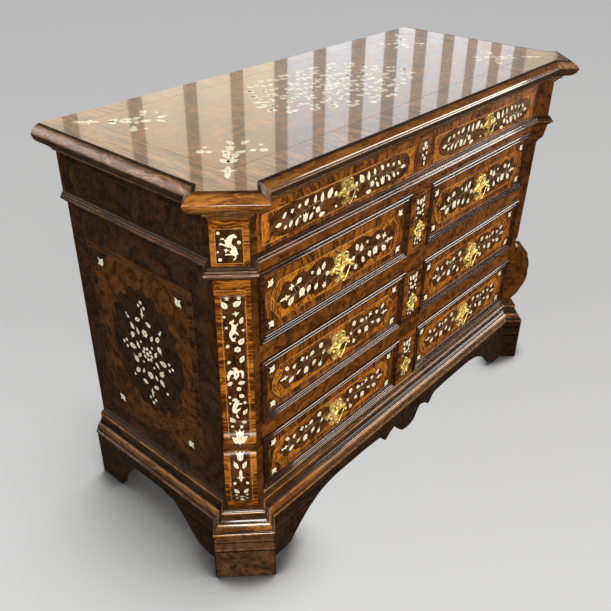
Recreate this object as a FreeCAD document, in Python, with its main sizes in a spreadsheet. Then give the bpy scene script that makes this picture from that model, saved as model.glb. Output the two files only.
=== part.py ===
import FreeCAD, Part
import math
import os
import re
import Sketcher

# Commode with four tiers of drawers between canted scroll pilasters.
# Millimetres, +Z up, +X to the viewer's right, the front faces -Y.
# Plan points near a corner use two distances: reach, along the diagonal out of
# the back edge's middle, and slide, across that diagonal.

sizes = {
    # whole body
    "back_y": 313.4,
    "side_reach": 644,
    "side_set": 6.5,
    "front_depth": 534,
    "board": 20,
    "back_board": 12,
    "corner_turn": 5.18,
    # levels
    "top_high": 1000,
    "top_low": 976,
    "nose_low": 958,
    "bed_low": 936,
    "tier1_low": 838,
    "tier1_high": 932,
    "tier2_low": 623,
    "tier2_high": 796,
    "tier3_low": 413.5,
    "tier3_high": 581,
    "tier4_low": 211,
    "tier4_high": 371.5,
    "string_low": 812,
    "base_high": 201,
    "plinth_high": 142,
    # corners, from the top down
    "cornice_set": 5.97,
    "cornice_half": 26,
    "frieze_set": 2.97,
    "frieze_half": 36.8,
    "string_set": 6.97,
    "string_half": 36,
    "post_set": 42.97,
    "base_set": 10.97,
    "base_half": 38,
    "foot_rise": 23.03,
    "foot_half": 72,
    # top edge moulding, as distances out from the frieze
    "rim": 27,
    "nose": 51,
    "nose_crown": 40,
    "nose_belly": 28,
    "bed_step": 30,
    "bed_hollow": 17,
    "bed_fillet": 12,
    # string course and base mouldings, as distances out
    "string_out": 16,
    "base_out": 34,
    # openings and drawers
    "post_wide": 76,
    "post_deep": 94,
    "post_gap": 1,
    "stile_half": 28,
    "rail_deep": 44,
    "dust_board": 18,
    "drawer_gap": 1,
    "runner_gap": 0.3,
    "front_board": 22,
    "panel_sink": 2,
    "plaque_half": 40,
    "plaque_rise": 3,
    "tray_gap": 10,
    "tray_room": 58,
    "tray_board": 12,
    "tray_floor": 8,
    "tray_drop": 22,
    # raised frames on the long drawers
    "frame_ridge": 7,
    "frame_inner": 43.5,
    "frame_bead": 4,
    "frame_wide": 18,
    # scroll console
    "capital_out": 44,
    "capital_low": 780,
    "shaft_out": 20,
    "shoulder_high": 394,
    "belly_out": 68,
    "neck_out": 27,
    "neck_high": 216,
    "console_half": 36,
    # apron
    "arch_high": 106,
    "drop_low": 53,
    "side_arch_high": 111,
    # brass
    "plate_thick": 3,
    "axis_out": 10,
    "axis_high": -4,
    "post_spread": 32,
    "knuckle": 4,
    "wire": 2,
    "pin_gap": 0.3,
    "bail_half": 22,
    "bail_drop": 20,
    "pull_drop": 4,
    "lock_drop": 26,
    # lock
    "case_half": 34,
    "case_thick": 9,
    "case_high": 46,
    "bolt_half": 10,
    "bolt_thick": 5,
    "bolt_long": 34,
    "bolt_throw": 12,
    "bolt_gap": 0.4,
}

# places that follow from those sizes
fits = {
    "panel_reach": "(side_reach - side_set)",
    "opening_half": "(side_reach - post_wide)",
    "corner_reach": "((side_reach + front_depth) / 1.41421356237)",
    "corner_slide": "((front_depth - side_reach) / 1.41421356237 + corner_turn)",
    "cornice_reach": "(corner_reach - cornice_set)",
    "frieze_reach": "(corner_reach - frieze_set)",
    "string_reach": "(corner_reach - string_set)",
    "post_reach": "(corner_reach - post_set)",
    "base_reach": "(corner_reach - base_set)",
    "foot_reach": "(corner_reach + foot_rise)",
    "tray_deep": "(front_depth - panel_sink - front_board - tray_room - back_board)",
    "post_back": "(back_y - front_depth + post_deep)",
}

doc = FreeCAD.newDocument("commode")
sheet = doc.addObject("Spreadsheet::Sheet", "dims")
for row, name in enumerate(sizes, 1):
    sheet.set("A%d" % row, name)
    sheet.set("B%d" % row, str(sizes[name]))
    sheet.setAlias("B%d" % row, name)
doc.recompute()

words = re.compile("[a-z][a-z0-9_]*")
root2 = "1.41421356237"
nodes = []


def link(text):
    text = str(text)
    while any(word in fits for word in words.findall(text)):
        text = words.sub(lambda m: fits.get(m.group(0), m.group(0)), text)
    return words.sub(lambda m: "dims." + m.group(0) if m.group(0) in sizes else m.group(0), text)


def value(text):
    return float(sheet.evalExpression(link(text)))


def bind(item, prop, text):
    item.setExpression(prop, link(text))


def keep(item, label):
    item.Label = label
    nodes.append(item)
    return item


def shift(item, x="0", y="0", z="0"):
    for axis, text in zip("xyz", (x, y, z)):
        bind(item, "Placement.Base." + axis, text)
    return item


def block(name, x0, x1, y0, y1, z0, z1):
    item = doc.addObject("Part::Box", name)
    bind(item, "Length", "(%s) - (%s)" % (x1, x0))
    bind(item, "Width", "(%s) - (%s)" % (y1, y0))
    bind(item, "Height", "(%s) - (%s)" % (z1, z0))
    return shift(item, x0, y0, z0)


def bar(name, radius, length, x, y, z, axis):
    # eight-sided bar, radius to its flats
    item = doc.addObject("Part::Prism", name)
    item.Polygon = 8
    bind(item, "Circumradius", "(%s) / cos(22.5)" % radius)
    bind(item, "Height", length)
    turn = {"x": ((0, 1, 0), 90), "y": ((1, 0, 0), 90)}[axis]
    item.Placement.Rotation = FreeCAD.Rotation(FreeCAD.Vector(*turn[0]), turn[1])
    return shift(item, x, y, z)


def funnel(name, front, back, y0, y1):
    item = doc.addObject("Part::Wedge", name)
    for prop, text in zip(("Xmin", "Xmax", "Zmin", "Zmax"), front):
        bind(item, prop, text)
    for prop, text in zip(("X2min", "X2max", "Z2min", "Z2max"), back):
        bind(item, prop, text)
    bind(item, "Ymin", y0)
    bind(item, "Ymax", y1)
    return item


def arc(a, b, radius):
    # arc from a to b; a positive radius bends to the left of the way from a to b
    mid = (a + b) * 0.5
    way = b - a
    half = way.Length / 2
    rise = math.sqrt(max(radius * radius - half * half, 0))
    side = FreeCAD.Vector(-way.y, way.x, 0).normalize()
    centre = mid + side * (rise if radius > 0 else -rise)
    first, last = (a, b) if radius > 0 else (b, a)
    start = math.atan2(first.y - centre.y, first.x - centre.x)
    stop = math.atan2(last.y - centre.y, last.x - centre.x)
    circle = Part.Circle(centre, FreeCAD.Vector(0, 0, 1), abs(radius))
    return Part.ArcOfCircle(circle, start, stop if stop > start else stop + 2 * math.pi)


turns = {
    "XY": FreeCAD.Rotation(),
    "XZ": FreeCAD.Rotation(FreeCAD.Vector(1, 0, 0), 90),
    "YZ": FreeCAD.Rotation(FreeCAD.Vector(1, 1, 1), 120),
}


def outline(name, plane, level, loops, closed=True):
    sketch = doc.addObject("Sketcher::SketchObject", name)
    sketch.Placement.Rotation = turns[plane]
    shift(sketch, **{{"XY": "z", "XZ": "y", "YZ": "x"}[plane]: level})
    rules = []
    formulas = []

    def rule(text, *parts):
        if text is not None:
            formulas.append((len(rules), text))
        rules.append(Sketcher.Constraint(*parts))

    for points in loops:
        spots = [FreeCAD.Vector(value(p[0]), value(p[1]), 0) for p in points]
        count = len(points) if closed else len(points) - 1
        ends = []
        for i in range(count):
            a, b = spots[i], spots[(i + 1) % len(spots)]
            if len(points[i]) > 2:
                radius = value(points[i][2])
                seg = sketch.addGeometry(arc(a, b, radius))
                ends.append((seg, 1, 2) if radius > 0 else (seg, 2, 1))
                rule("abs(%s)" % points[i][2], "Radius", seg, abs(radius))
            else:
                seg = sketch.addGeometry(Part.LineSegment(a, b))
                ends.append((seg, 1, 2))
        for i, (seg, first, last) in enumerate(ends):
            after = ends[(i + 1) % len(ends)]
            if closed or i + 1 < len(ends):
                rule(None, "Coincident", seg, last, after[0], after[1])
        fixed = [(seg, first) for seg, first, last in ends]
        if not closed:
            fixed.append((ends[-1][0], ends[-1][2]))
        for i, (seg, spot) in enumerate(fixed):
            for kind, text, axis in zip(("DistanceX", "DistanceY"), points[i][:2], (-2, -1)):
                if str(text) == "0":
                    rule(None, "PointOnObject", seg, spot, axis)
                else:
                    rule(text, kind, -1, 1, seg, spot, value(text))
    sketch.addConstraint(rules)
    for number, text in formulas:
        bind(sketch, "Constraints[%d]" % number, text)
    return sketch


def prism(name, sketch, length, both=False):
    item = doc.addObject("Part::Extrusion", name)
    item.Base = sketch
    item.DirMode = "Normal"
    item.Solid = True
    item.Symmetric = both
    bind(item, "LengthFwd", length)
    return item


def sweep(name, profile, path, corner):
    item = doc.addObject("Part::Sweep", name)
    item.Sections = [profile]
    item.Spine = (path, [])
    item.Solid = True
    item.Frenet = False
    item.Transition = corner
    return item


def cut(name, base, tool):
    item = doc.addObject("Part::Cut", name)
    item.Base, item.Tool = base, tool
    return item


def common(name, base, tool):
    item = doc.addObject("Part::Common", name)
    item.Base, item.Tool = base, tool
    return item


def fuse(name, *items):
    item = doc.addObject("Part::MultiFuse", name)
    item.Shapes = list(items)
    item.Refine = True
    return item


def group(name, *items):
    item = doc.addObject("Part::Compound", name)
    item.Links = list(items)
    return item


def mirror(name, source):
    item = doc.addObject("Part::Mirroring", name)
    item.Source = source
    item.Normal = FreeCAD.Vector(1, 0, 0)
    return item


def pair(make, name):
    left = keep(make(name + "_left"), name + "_left")
    return left, keep(mirror(name + "_right", left), name + "_right")


def spot(reach, slide):
    # plan point of the left corner
    return ("((%s) - (%s)) / %s" % (slide, reach, root2),
            "back_y - ((%s) + (%s)) / %s" % (reach, slide, root2))


def plan(side, reach, half, front):
    # left half of a plan that follows side, corner return, corner face, return, front
    near, far = "corner_slide - (%s)" % half, "corner_slide + (%s)" % half
    return [
        ("-(%s)" % side, "back_y"),
        ("-(%s)" % side, "back_y - (%s) - %s * (%s)" % (side, root2, near)),
        spot(reach, near),
        spot(reach, far),
        ("-(%s) + %s * (%s)" % (front, root2, far), "back_y - (%s)" % front),
    ]


def whole(half_plan):
    return half_plan + [("-(%s)" % x, y) for x, y in reversed(half_plan)]


def moulding(name, side, reach, half, front, profile):
    # one profile carried round the plan, then parted at the front's two mitres
    # its points are (out, up, bend), and a bend above zero swells outwards
    section = outline(name + "_section", "XZ", "back_y",
                      [[("-(%s) - (%s)" % (side, p[0]), p[1]) + tuple("-(%s)" % bend for bend in p[2:]) for p in profile]])
    left = plan(side, reach, half, front)
    path = outline(name + "_path", "XY", profile[0][1], [whole(left)], closed=False)
    band = sweep(name + "_band", section, path, "Right corner")
    x, y = left[4]
    run = math.tan(math.radians(22.5))
    low = "%s - 10" % profile[0][1]
    mitre_out = ("%s + 160 * %.9f" % (x, run), "%s - 160" % y)
    mitre_in = ("%s - 60 * %.9f" % (x, run), "%s + 60" % y)
    zone = outline(name + "_front_zone", "XY", low,
                   [[mitre_in, mitre_out, ("-(%s)" % mitre_out[0], mitre_out[1]), ("-(%s)" % mitre_in[0], mitre_in[1])]])
    keep(common(name + "_front", band, prism(name + "_front_slab", zone, "120")), name + "_front")
    side_zone = outline(name + "_side_zone", "XY", low,
                        [[mitre_out, mitre_in, (mitre_in[0], "back_y + 20"), ("-900", "back_y + 20"), ("-900", mitre_out[1])]])
    slab = prism(name + "_side_slab", side_zone, "120")
    pair(lambda label: common(label, band, slab), name)


front_y = "back_y - front_depth"

# top board and its edge moulding
rim_plan = plan("side_reach + rim", "cornice_reach + rim", "cornice_half + rim", "front_depth + rim")
keep(prism("top_panel", outline("top_plan", "XY", "top_low", [whole(rim_plan)]), "top_high - top_low"), "top_panel")
moulding("top_moulding", "side_reach", "cornice_reach", "cornice_half", "front_depth", [
    ("0", "bed_low"), ("bed_fillet - 3", "bed_low"), ("bed_fillet - 3", "bed_low + 4"), ("bed_fillet", "bed_low + 5", "-12"),
    ("bed_hollow", "bed_low + 12"), ("bed_hollow + 3", "bed_low + 12"), ("bed_hollow + 3", "bed_low + 15", "-10"),
    ("bed_step", "nose_low", "nose_belly"), ("nose", "top_high - 18", "nose_crown"),
    ("rim", "top_high"), ("rim", "top_low"), ("0", "top_low")])

# string course and base moulding
moulding("string_course", "panel_reach", "string_reach", "string_half", "front_depth", [
    ("0", "string_low"), ("4", "string_low"), ("10", "string_low + 6", "9"), ("12", "string_low + 10"),
    ("string_out", "string_low + 11"), ("string_out", "string_low + 16"), ("12.5", "string_low + 17"),
    ("12.5", "string_low + 21"), ("9", "string_low + 22"), ("9", "tier1_low"), ("0", "tier1_low")])
moulding("base_moulding", "panel_reach", "base_reach", "base_half", "front_depth", [
    ("0", "plinth_high"), ("base_out", "plinth_high"), ("base_out", "plinth_high + 7"),
    ("base_out - 4", "plinth_high + 8", "40"), ("base_out - 13", "plinth_high + 27"),
    ("base_out - 17", "plinth_high + 27.5"), ("base_out - 17", "plinth_high + 29", "-22"),
    ("10.5", "plinth_high + 44"), ("10.5", "base_high - 11"),
    ("12", "base_high - 10"), ("12", "base_high - 6"), ("8", "base_high - 5"), ("8", "base_high"), ("0", "base_high")])


# carcass
def side_panel(name):
    def leaf(label, reach, half, thick, low, high):
        near = "corner_slide - (%s)" % half
        inner = "(%s) - (%s)" % (reach, thick)
        sketch = outline(label + "_plan", "XY", low, [[
            ("-(%s)" % reach, "back_y"), ("-(%s)" % inner, "back_y"),
            ("-(%s)" % inner, "back_y - (%s) - %s * (%s)" % (inner, root2, near)),
            ("-(%s)" % reach, "back_y - (%s) - %s * (%s)" % (reach, root2, near))]])
        return prism(label, sketch, "(%s) - (%s)" % (high, low))
    inner = "panel_reach - board"
    return fuse(name, leaf(name + "_lower", "panel_reach", "base_half", "board", "plinth_high", "tier1_low"),
                leaf(name + "_upper", "side_reach", "base_half", "side_reach - (%s)" % inner, "tier1_low", "top_low"))


def corner_post(name):
    levels = (("plinth_high", "base_high", "panel_reach", "base_reach", "base_half"),
              ("base_high", "string_low", "panel_reach", "post_reach", "console_half"),
              ("string_low", "tier1_low", "panel_reach", "string_reach", "string_half"),
              ("tier1_low", "bed_low", "side_reach", "frieze_reach", "frieze_half"),
              ("bed_low", "top_low", "side_reach", "cornice_reach", "cornice_half"))
    parts = []
    inner = "panel_reach - board"
    for low, high, side, reach, half in levels:
        back, near, far = ["corner_slide %s" % t for t in ("- base_half", "- " + half, "+ " + half)]
        points = [("-opening_half", "post_back"), ("-(%s)" % inner, "post_back"),
                  ("-(%s)" % inner, "back_y - (%s) - %s * (%s)" % (inner, root2, back)),
                  ("-(%s)" % side, "back_y - (%s) - %s * (%s)" % (side, root2, back))]
        if half != "base_half":
            points.append(("-(%s)" % side, "back_y - (%s) - %s * (%s)" % (side, root2, near)))
        points += [spot(reach, near), spot(reach, far),
                   ("-front_depth + %s * (%s)" % (root2, far), front_y), ("-opening_half", front_y)]
        sketch = outline("%s_%s_plan" % (name, low), "XY", low, [points])
        parts.append(prism("%s_%s" % (name, low), sketch, "(%s) - (%s)" % (high, low)))
    return fuse(name, *parts)


pair(side_panel, "side_panel")
pair(corner_post, "corner_post")
inside = "panel_reach - board"
keep(block("back_panel", "-(%s)" % inside, inside, "back_y - back_board", "back_y", "plinth_high", "top_low"), "back_panel")
keep(block("top_rail", "-opening_half", "opening_half", front_y, "%s + rail_deep" % front_y, "tier1_high", "top_low"), "top_rail")


def divider(name, low, high, mortise):
    rail = block(name + "_rail", "-opening_half", "opening_half", front_y, "%s + rail_deep" % front_y, low, high)
    clear = "post_back + post_gap"
    ledge = outline(name + "_plan", "XY", "(%s) - dust_board" % high, [[
        ("-opening_half", "%s + rail_deep" % front_y), ("opening_half", "%s + rail_deep" % front_y),
        ("opening_half", clear), (inside, clear), (inside, "back_y - back_board"),
        ("-(%s)" % inside, "back_y - back_board"), ("-(%s)" % inside, clear), ("-opening_half", clear)]])
    body = fuse(name + "_body", rail, prism(name + "_board", ledge, "dust_board"))
    if not mortise:
        return keep(body, name)
    slot_y = "%s + panel_sink + front_board" % front_y
    slot = block(name + "_mortise", "-bolt_half - 2", "bolt_half + 2", slot_y, "%s + case_thick" % slot_y,
                 "(%s) - 1" % low, "(%s) + bolt_throw + 2" % low)
    return keep(cut(name, body, slot), name)


divider("divider_1", "tier2_high", "tier1_low", True)
divider("divider_2", "tier3_high", "tier2_low", True)
divider("divider_3", "tier4_high", "tier3_low", True)
divider("carcass_bottom", "plinth_high", "tier4_low", False)
keep(block("centre_stile", "-stile_half", "stile_half", front_y, "back_y - back_board", "tier1_low", "tier1_high"), "centre_stile")


# scroll consoles on the canted corners
def console(name):
    def out(text):
        return "-(%s)" % text
    sketch = outline(name + "_profile", "YZ", "0", [[
        ("0", "string_low"), ("0", "base_high"), (out("neck_out"), "base_high"),
        (out("neck_out"), "neck_high", "-96"), (out("belly_out - 14"), "neck_high + 40", "-96"),
        (out("belly_out"), "neck_high + 106", "-104"), (out("belly_out - 9"), "shoulder_high - 18", "-22"),
        (out("belly_out - 18"), "shoulder_high"), (out("belly_out - 28"), "shoulder_high + 1", "34"),
        (out("shaft_out - 5"), "shoulder_high + 52"), (out("shaft_out"), "capital_low - 22", "24"),
        (out("shaft_out + 12"), "capital_low - 9", "-20"), (out("capital_out - 6"), "capital_low"),
        (out("capital_out"), "string_low")]])
    item = prism(name, sketch, "2 * console_half", both=True)
    item.Placement.Rotation = FreeCAD.Rotation(FreeCAD.Vector(0, 0, 1), -45)
    x, y = spot("post_reach", "corner_slide")
    return shift(item, x, y)


pair(console, "console")


# plinth: front feet, aprons and rear feet
apron_face = "base_out - 2"
apron_x = "panel_reach + %s" % apron_face
apron_y = "front_depth + %s" % apron_face


def front_foot(name):
    near, far = "corner_slide - foot_half", "corner_slide + foot_half"
    sketch = outline(name + "_plan", "XY", "0", [[
        spot("foot_reach", near), spot("foot_reach", far),
        ("-(%s) + %s * (%s)" % (apron_y, root2, far), "back_y - (%s)" % apron_y),
        ("-(%s) + %s * (%s) + board" % (apron_y, root2, far), "back_y - (%s)" % apron_y),
        ("-(%s) + %s * (%s) + board" % (apron_y, root2, far), "back_y - (%s) + board" % apron_y),
        ("-(%s) + board" % apron_x, "back_y - (%s) - %s * (%s) + board" % (apron_x, root2, near)),
        ("-(%s)" % apron_x, "back_y - (%s) - %s * (%s) + board" % (apron_x, root2, near)),
        ("-(%s)" % apron_x, "back_y - (%s) - %s * (%s)" % (apron_x, root2, near))]])
    return prism(name, sketch, "plinth_high")


pair(front_foot, "foot_front")

end_x = "%s - %s * (corner_slide + foot_half) - board" % (apron_y, root2)
# places along the apron are shares of its half length
right = [
    ("0.0439", "drop_low + 3", "34"), ("0.0805", "drop_low + 24"), ("0.1061", "drop_low + 43"),
    ("0.1207", "drop_low + 44", "-70"), ("0.1938", "drop_low + 21"), ("0.2066", "drop_low + 22"),
    ("0.2322", "arch_high - 14", "-26"), ("0.267", "arch_high - 4"), ("0.384", "arch_high"),
    ("0.5797", "arch_high", "-240"), ("0.7315", "arch_high - 15"), ("0.801", "arch_high - 37"),
    ("0.8558", "arch_high - 62"), ("0.8979", "arch_high - 84", "46"), ("0.9436", "2"), ("0.9655", "0"),
    ("1", "0"), ("1", "plinth_high")]
right = [("(%s) * %s" % (end_x, p[0]),) + p[1:] for p in right]
left = []
for i in range(len(right) - 1, -1, -1):
    bend = right[i - 1][2:] if i else ()
    left.append(("-(%s)" % right[i][0], right[i][1]) + bend)
apron = outline("apron_front_shape", "XZ", "back_y - (%s) + board" % apron_y,
                [left[:-1] + [left[-1] + ("70",)] + right])
keep(prism("apron_front", apron, "board"), "apron_front")


def side_apron(name):
    # the rear foot block is one piece with the side apron
    end = "%s + %s * (corner_slide - foot_half) - board" % (apron_x, root2)
    at = [("0", "0"), ("0.1888", "0", "60"), ("0.2247", "side_arch_high - 70"), ("0.2652", "side_arch_high - 30", "-60"),
          ("0.3595", "side_arch_high - 2"), ("0.6067", "side_arch_high - 3", "-90"), ("0.7011", "side_arch_high - 12"),
          ("0.7595", "side_arch_high - 34"), ("0.8359", "side_arch_high - 74"), ("0.8989", "8", "40"), ("0.9528", "0"),
          ("1", "0"), ("1", "plinth_high"), ("0", "plinth_high")]
    sketch = outline(name + "_shape", "YZ", "-(%s)" % apron_x,
                     [[("back_y - (%s) * %s" % (end, p[0]), p[1]) + p[2:] for p in at]])
    inner = "%s - board" % apron_x
    foot = block(name + "_foot", "-(%s)" % inner, "-(%s) + 60" % inner, "back_y - 64", "back_y", "0", "plinth_high")
    return fuse(name, prism(name + "_board", sketch, "board"), foot)


pair(side_apron, "apron_side")


# brass pulls: a pierced plate with two knuckles, and a bail that swings in them
def pull_plate(name, x, y, z):
    half = [("0", "36"), ("7", "28"), ("12", "28", "-17"), ("28", "14"), ("27", "5"), ("36", "4"),
            ("43", "-4", "-8"), ("34", "-12"), ("25", "-11"), ("18", "-21"), ("20", "-28", "-9"), ("13", "-42"),
            ("7", "-37"), ("0", "-42")]
    outer = half[:-1] + [half[-1] + half[-2][2:]] + [
        ("-" + half[i][0], half[i][1]) + half[i - 1][2:] for i in range(len(half) - 2, 0, -1)]
    eye = [("0", "22", "-12"), ("10", "10", "-14"), ("0", "-6", "-14"), ("-10", "10", "-12")]
    low_eye = [("5", "-14"), ("13", "-15"), ("13", "-26"), ("7", "-30")]
    far_eye = [("-" + u, v) for u, v in reversed(low_eye)]
    sheet_metal = prism(name + "_leaf", outline(name + "_shape", "XZ", "0", [outer, eye, low_eye, far_eye]), "plate_thick")
    knuckles = []
    for side, sign in (("left", "-"), ("right", "")):
        stub = bar("%s_stub_%s" % (name, side), "knuckle", "axis_out + knuckle",
                   "%spost_spread" % sign, "0", "axis_high", "y")
        hole = bar("%s_hole_%s" % (name, side), "wire + pin_gap", "4 * knuckle",
                   "%spost_spread - 2 * knuckle" % sign, "-axis_out", "axis_high", "x")
        knuckles.append(cut("%s_knuckle_%s" % (name, side), stub, hole))
    return shift(fuse(name, sheet_metal, *knuckles), x, y, z)


def bail(name, x, y, z):
    # eight-sided wire bent in short straight steps, from one knuckle to the other
    low, bend = "axis_high - bail_drop", "(bail_half - 4)"
    half = [("post_spread + knuckle - 1", "axis_high"), ("bail_half + 4", "axis_high"),
            ("bail_half + 1.2", "axis_high - 1.2"), ("bail_half", "axis_high - 4"), ("bail_half", low)]
    for step in (1, 2, 3):
        turn = math.radians(30 * step)
        half.append(("4 + %s * %.5f" % (bend, math.cos(turn)), "%s - %s * %.5f" % (low, bend, math.sin(turn))))
    path = outline(name + "_path", "XZ", "-axis_out",
                   [[("-(%s)" % u, v) for u, v in half] + half[::-1]], closed=False)
    ring = doc.addObject("Part::RegularPolygon", name + "_section")
    ring.Polygon = 8
    bind(ring, "Circumradius", "wire")
    ring.Placement.Rotation = FreeCAD.Rotation(FreeCAD.Vector(0, 1, 0), 90)
    shift(ring, "-post_spread - knuckle + 1", "-axis_out", "axis_high")
    item = sweep(name, ring, path, "Right corner")
    return keep(shift(item, x, y, z), name)


def escutcheon(name, y, z):
    outer = [("0", "28", "-9"), ("7", "21"), ("10", "14", "-12"), ("22", "3", "-7"), ("20", "-6"), ("10", "-14", "-9"), ("0", "-28", "-9"),
             ("-10", "-14"), ("-20", "-6", "-7"), ("-22", "3", "-12"), ("-10", "14"), ("-7", "21", "-9")]
    keyhole = [("1.4", "-8"), ("1.4", "1", "3.2"), ("-1.4", "1"), ("-1.4", "-8")]
    item = prism(name, outline(name + "_shape", "XZ", "0", [outer, keyhole]), "plate_thick")
    return shift(item, "0", y, z)


def tray(name, x0, x1, low, high):
    # sides, back and floor of a drawer, behind its front board
    start = "%s + panel_sink + front_board" % front_y
    stop = "%s + tray_deep" % start
    base, rim = "(%s) + runner_gap" % low, "(%s) - tray_drop" % high
    floor = "%s + 6" % base
    near, far = "(%s) + tray_board" % x0, "(%s) - tray_board" % x1
    return keep(group(
        name,
        block(name + "_left", x0, near, start, stop, base, rim),
        block(name + "_right", far, x1, start, stop, base, rim),
        block(name + "_back", near, far, "%s - tray_board" % stop, stop, base, rim),
        block(name + "_floor", near, far, start, "%s - tray_board" % stop, floor, "%s + tray_floor" % floor)), name)


def frame(name, low, high):
    # raised frame of a panel: a block with a stepped, mitred hollow
    x0, x1 = "-opening_half + drawer_gap", "-frame_inner"
    z0, z1 = "(%s) + drawer_gap" % low, "(%s) - drawer_gap" % high
    ridge = "%s - frame_ridge" % front_y
    panel = "%s + panel_sink" % front_y
    tall = "(frame_ridge + panel_sink)"

    def inset(size):
        return ("%s + %s" % (x0, size), "%s - %s" % (x1, size), "%s + %s" % (z0, size), "%s - %s" % (z1, size))

    def step(label, size, start, stop):
        a = inset(size)
        return block("%s_%s" % (name, label), a[0], a[1], "%s + %s * %s" % (ridge, tall, start),
                     "%s + %s * %s" % (ridge, tall, stop), a[2], a[3])

    def slope(label, wide, narrow, start, stop):
        return funnel("%s_%s" % (name, label), inset(wide), inset(narrow), "%s + %s * %s" % (ridge, tall, start),
                      "%s + %s * %s" % (ridge, tall, stop))

    solid = block(name + "_solid", x0, x1, ridge, panel, z0, z1)
    hollow = fuse(name + "_hollow", step("bead", "frame_bead", "-0.1", "0.2"),
                  slope("cove", "frame_bead + 1", "frame_wide * 0.55", "0.2", "0.5"),
                  step("fillet", "frame_wide * 0.64", "0.5", "0.65"),
                  slope("ogee", "frame_wide * 0.64", "frame_wide * 0.86", "0.65", "0.88"),
                  step("sight", "frame_wide", "0.88", "1.1"))
    return cut(name, solid, hollow)


def long_drawer(tier):
    low, high = "tier%d_low" % tier, "tier%d_high" % tier
    name = "drawer_%d" % tier
    panel_y = "%s + panel_sink" % front_y
    z0, z1 = "%s + drawer_gap" % low, "%s - drawer_gap" % high
    middle = "(%s + %s) / 2" % (low, high)
    pull_z = "%s - pull_drop" % middle
    plank = block(name + "_plank", "-opening_half + drawer_gap", "opening_half - drawer_gap", panel_y, "%s + front_board" % panel_y, z0, z1)
    plaque_y = "%s - plaque_rise" % front_y
    plaque = block(name + "_plaque", "-plaque_half", "plaque_half", plaque_y, panel_y, z0, z1)
    keep(fuse(name + "_front", plank, plaque), name + "_front")
    ring = frame(name + "_frame", low, high)
    keep(group(name + "_frames", ring, mirror(name + "_frame_far", ring)), name + "_frames")
    tray(name + "_tray", "-opening_half + tray_gap", "opening_half - tray_gap", low, high)
    centre = "(opening_half - drawer_gap + frame_inner) / 2"
    plates = [pull_plate("%s_plate_%s" % (name, side), "%s(%s)" % (sign, centre), panel_y, pull_z)
              for side, sign in (("left", "-"), ("right", ""))]
    keep(group(name + "_brass", escutcheon(name + "_escutcheon", plaque_y, "%s - lock_drop" % middle), *plates), name + "_brass")
    for side, sign in (("left", "-"), ("right", "")):
        bail("bail_%d_%s" % (tier, side), "%s(%s)" % (sign, centre), panel_y, pull_z)
    back = "%s + front_board" % panel_y
    top = "%s - 3" % z1
    case = block(name + "_case", "-case_half", "case_half", back, "%s + case_thick" % back, "%s - case_high" % top, "%s - 8" % top)
    space = block(name + "_bolt_space", "-bolt_half - bolt_gap", "bolt_half + bolt_gap", "%s + 2 - bolt_gap" % back,
                  "%s + 2 + bolt_thick + bolt_gap" % back, "%s - bolt_long - bolt_gap" % top, top)
    keep(cut("lock_case_%d" % tier, case, space), "lock_case_%d" % tier)
    keep(block("lock_bolt_%d" % tier, "-bolt_half", "bolt_half", "%s + 2" % back, "%s + 2 + bolt_thick" % back,
               "%s - bolt_long" % top, top), "lock_bolt_%d" % tier)


def short_drawer(side):
    name = "drawer_1_%s" % side
    x0, x1 = "-opening_half + drawer_gap", "-stile_half - drawer_gap"
    if side == "right":
        x0, x1 = "stile_half + drawer_gap", "opening_half - drawer_gap"
    keep(block(name + "_front", x0, x1, front_y, "%s + panel_sink + front_board" % front_y, "tier1_low + drawer_gap",
               "tier1_high - drawer_gap"), name + "_front")
    tray(name + "_tray", "%s + tray_gap" % x0, "%s - tray_gap" % x1, "tier1_low", "tier1_high")
    centre, middle = "(%s + %s) / 2" % (x0, x1), "(tier1_low + tier1_high) / 2"
    keep(pull_plate(name + "_plate", centre, front_y, middle), name + "_plate")
    bail("bail_1_%s" % side, centre, front_y, middle)


short_drawer("left")
short_drawer("right")
for tier in (2, 3, 4):
    long_drawer(tier)

doc.recompute()
os.makedirs("parts", exist_ok=True)
faults = []
for item in doc.Objects:
    if any(word in ("Invalid", "Error") for word in item.State):
        faults.append("%s state %s" % (item.Name, item.State))
for item in nodes:
    if item.Shape.isNull() or not item.Shape.isValid():
        faults.append("%s shape" % item.Label)
if faults:
    raise RuntimeError("; ".join(faults))
for item in nodes:
    item.Shape.exportStep("parts/%s.step" % item.Label)
print(len(nodes), "nodes written")
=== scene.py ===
import math

import bpy
from mathutils import Matrix, Vector


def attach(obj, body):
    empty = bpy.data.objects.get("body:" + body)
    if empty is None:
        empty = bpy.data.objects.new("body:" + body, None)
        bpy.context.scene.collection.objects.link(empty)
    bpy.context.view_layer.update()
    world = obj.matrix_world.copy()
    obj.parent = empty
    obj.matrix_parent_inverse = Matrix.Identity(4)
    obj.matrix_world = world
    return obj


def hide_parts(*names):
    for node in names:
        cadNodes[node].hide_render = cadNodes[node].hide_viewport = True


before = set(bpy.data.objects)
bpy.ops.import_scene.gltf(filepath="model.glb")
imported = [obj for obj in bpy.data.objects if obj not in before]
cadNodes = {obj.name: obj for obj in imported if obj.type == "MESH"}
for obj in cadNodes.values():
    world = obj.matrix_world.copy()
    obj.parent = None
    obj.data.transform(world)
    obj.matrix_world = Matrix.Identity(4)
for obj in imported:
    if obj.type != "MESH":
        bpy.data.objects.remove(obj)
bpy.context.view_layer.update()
scene = bpy.context.scene
scene.view_settings.view_transform = "Standard"
mm = 0.001
print("frame loaded:", len(cadNodes), "nodes")

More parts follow.
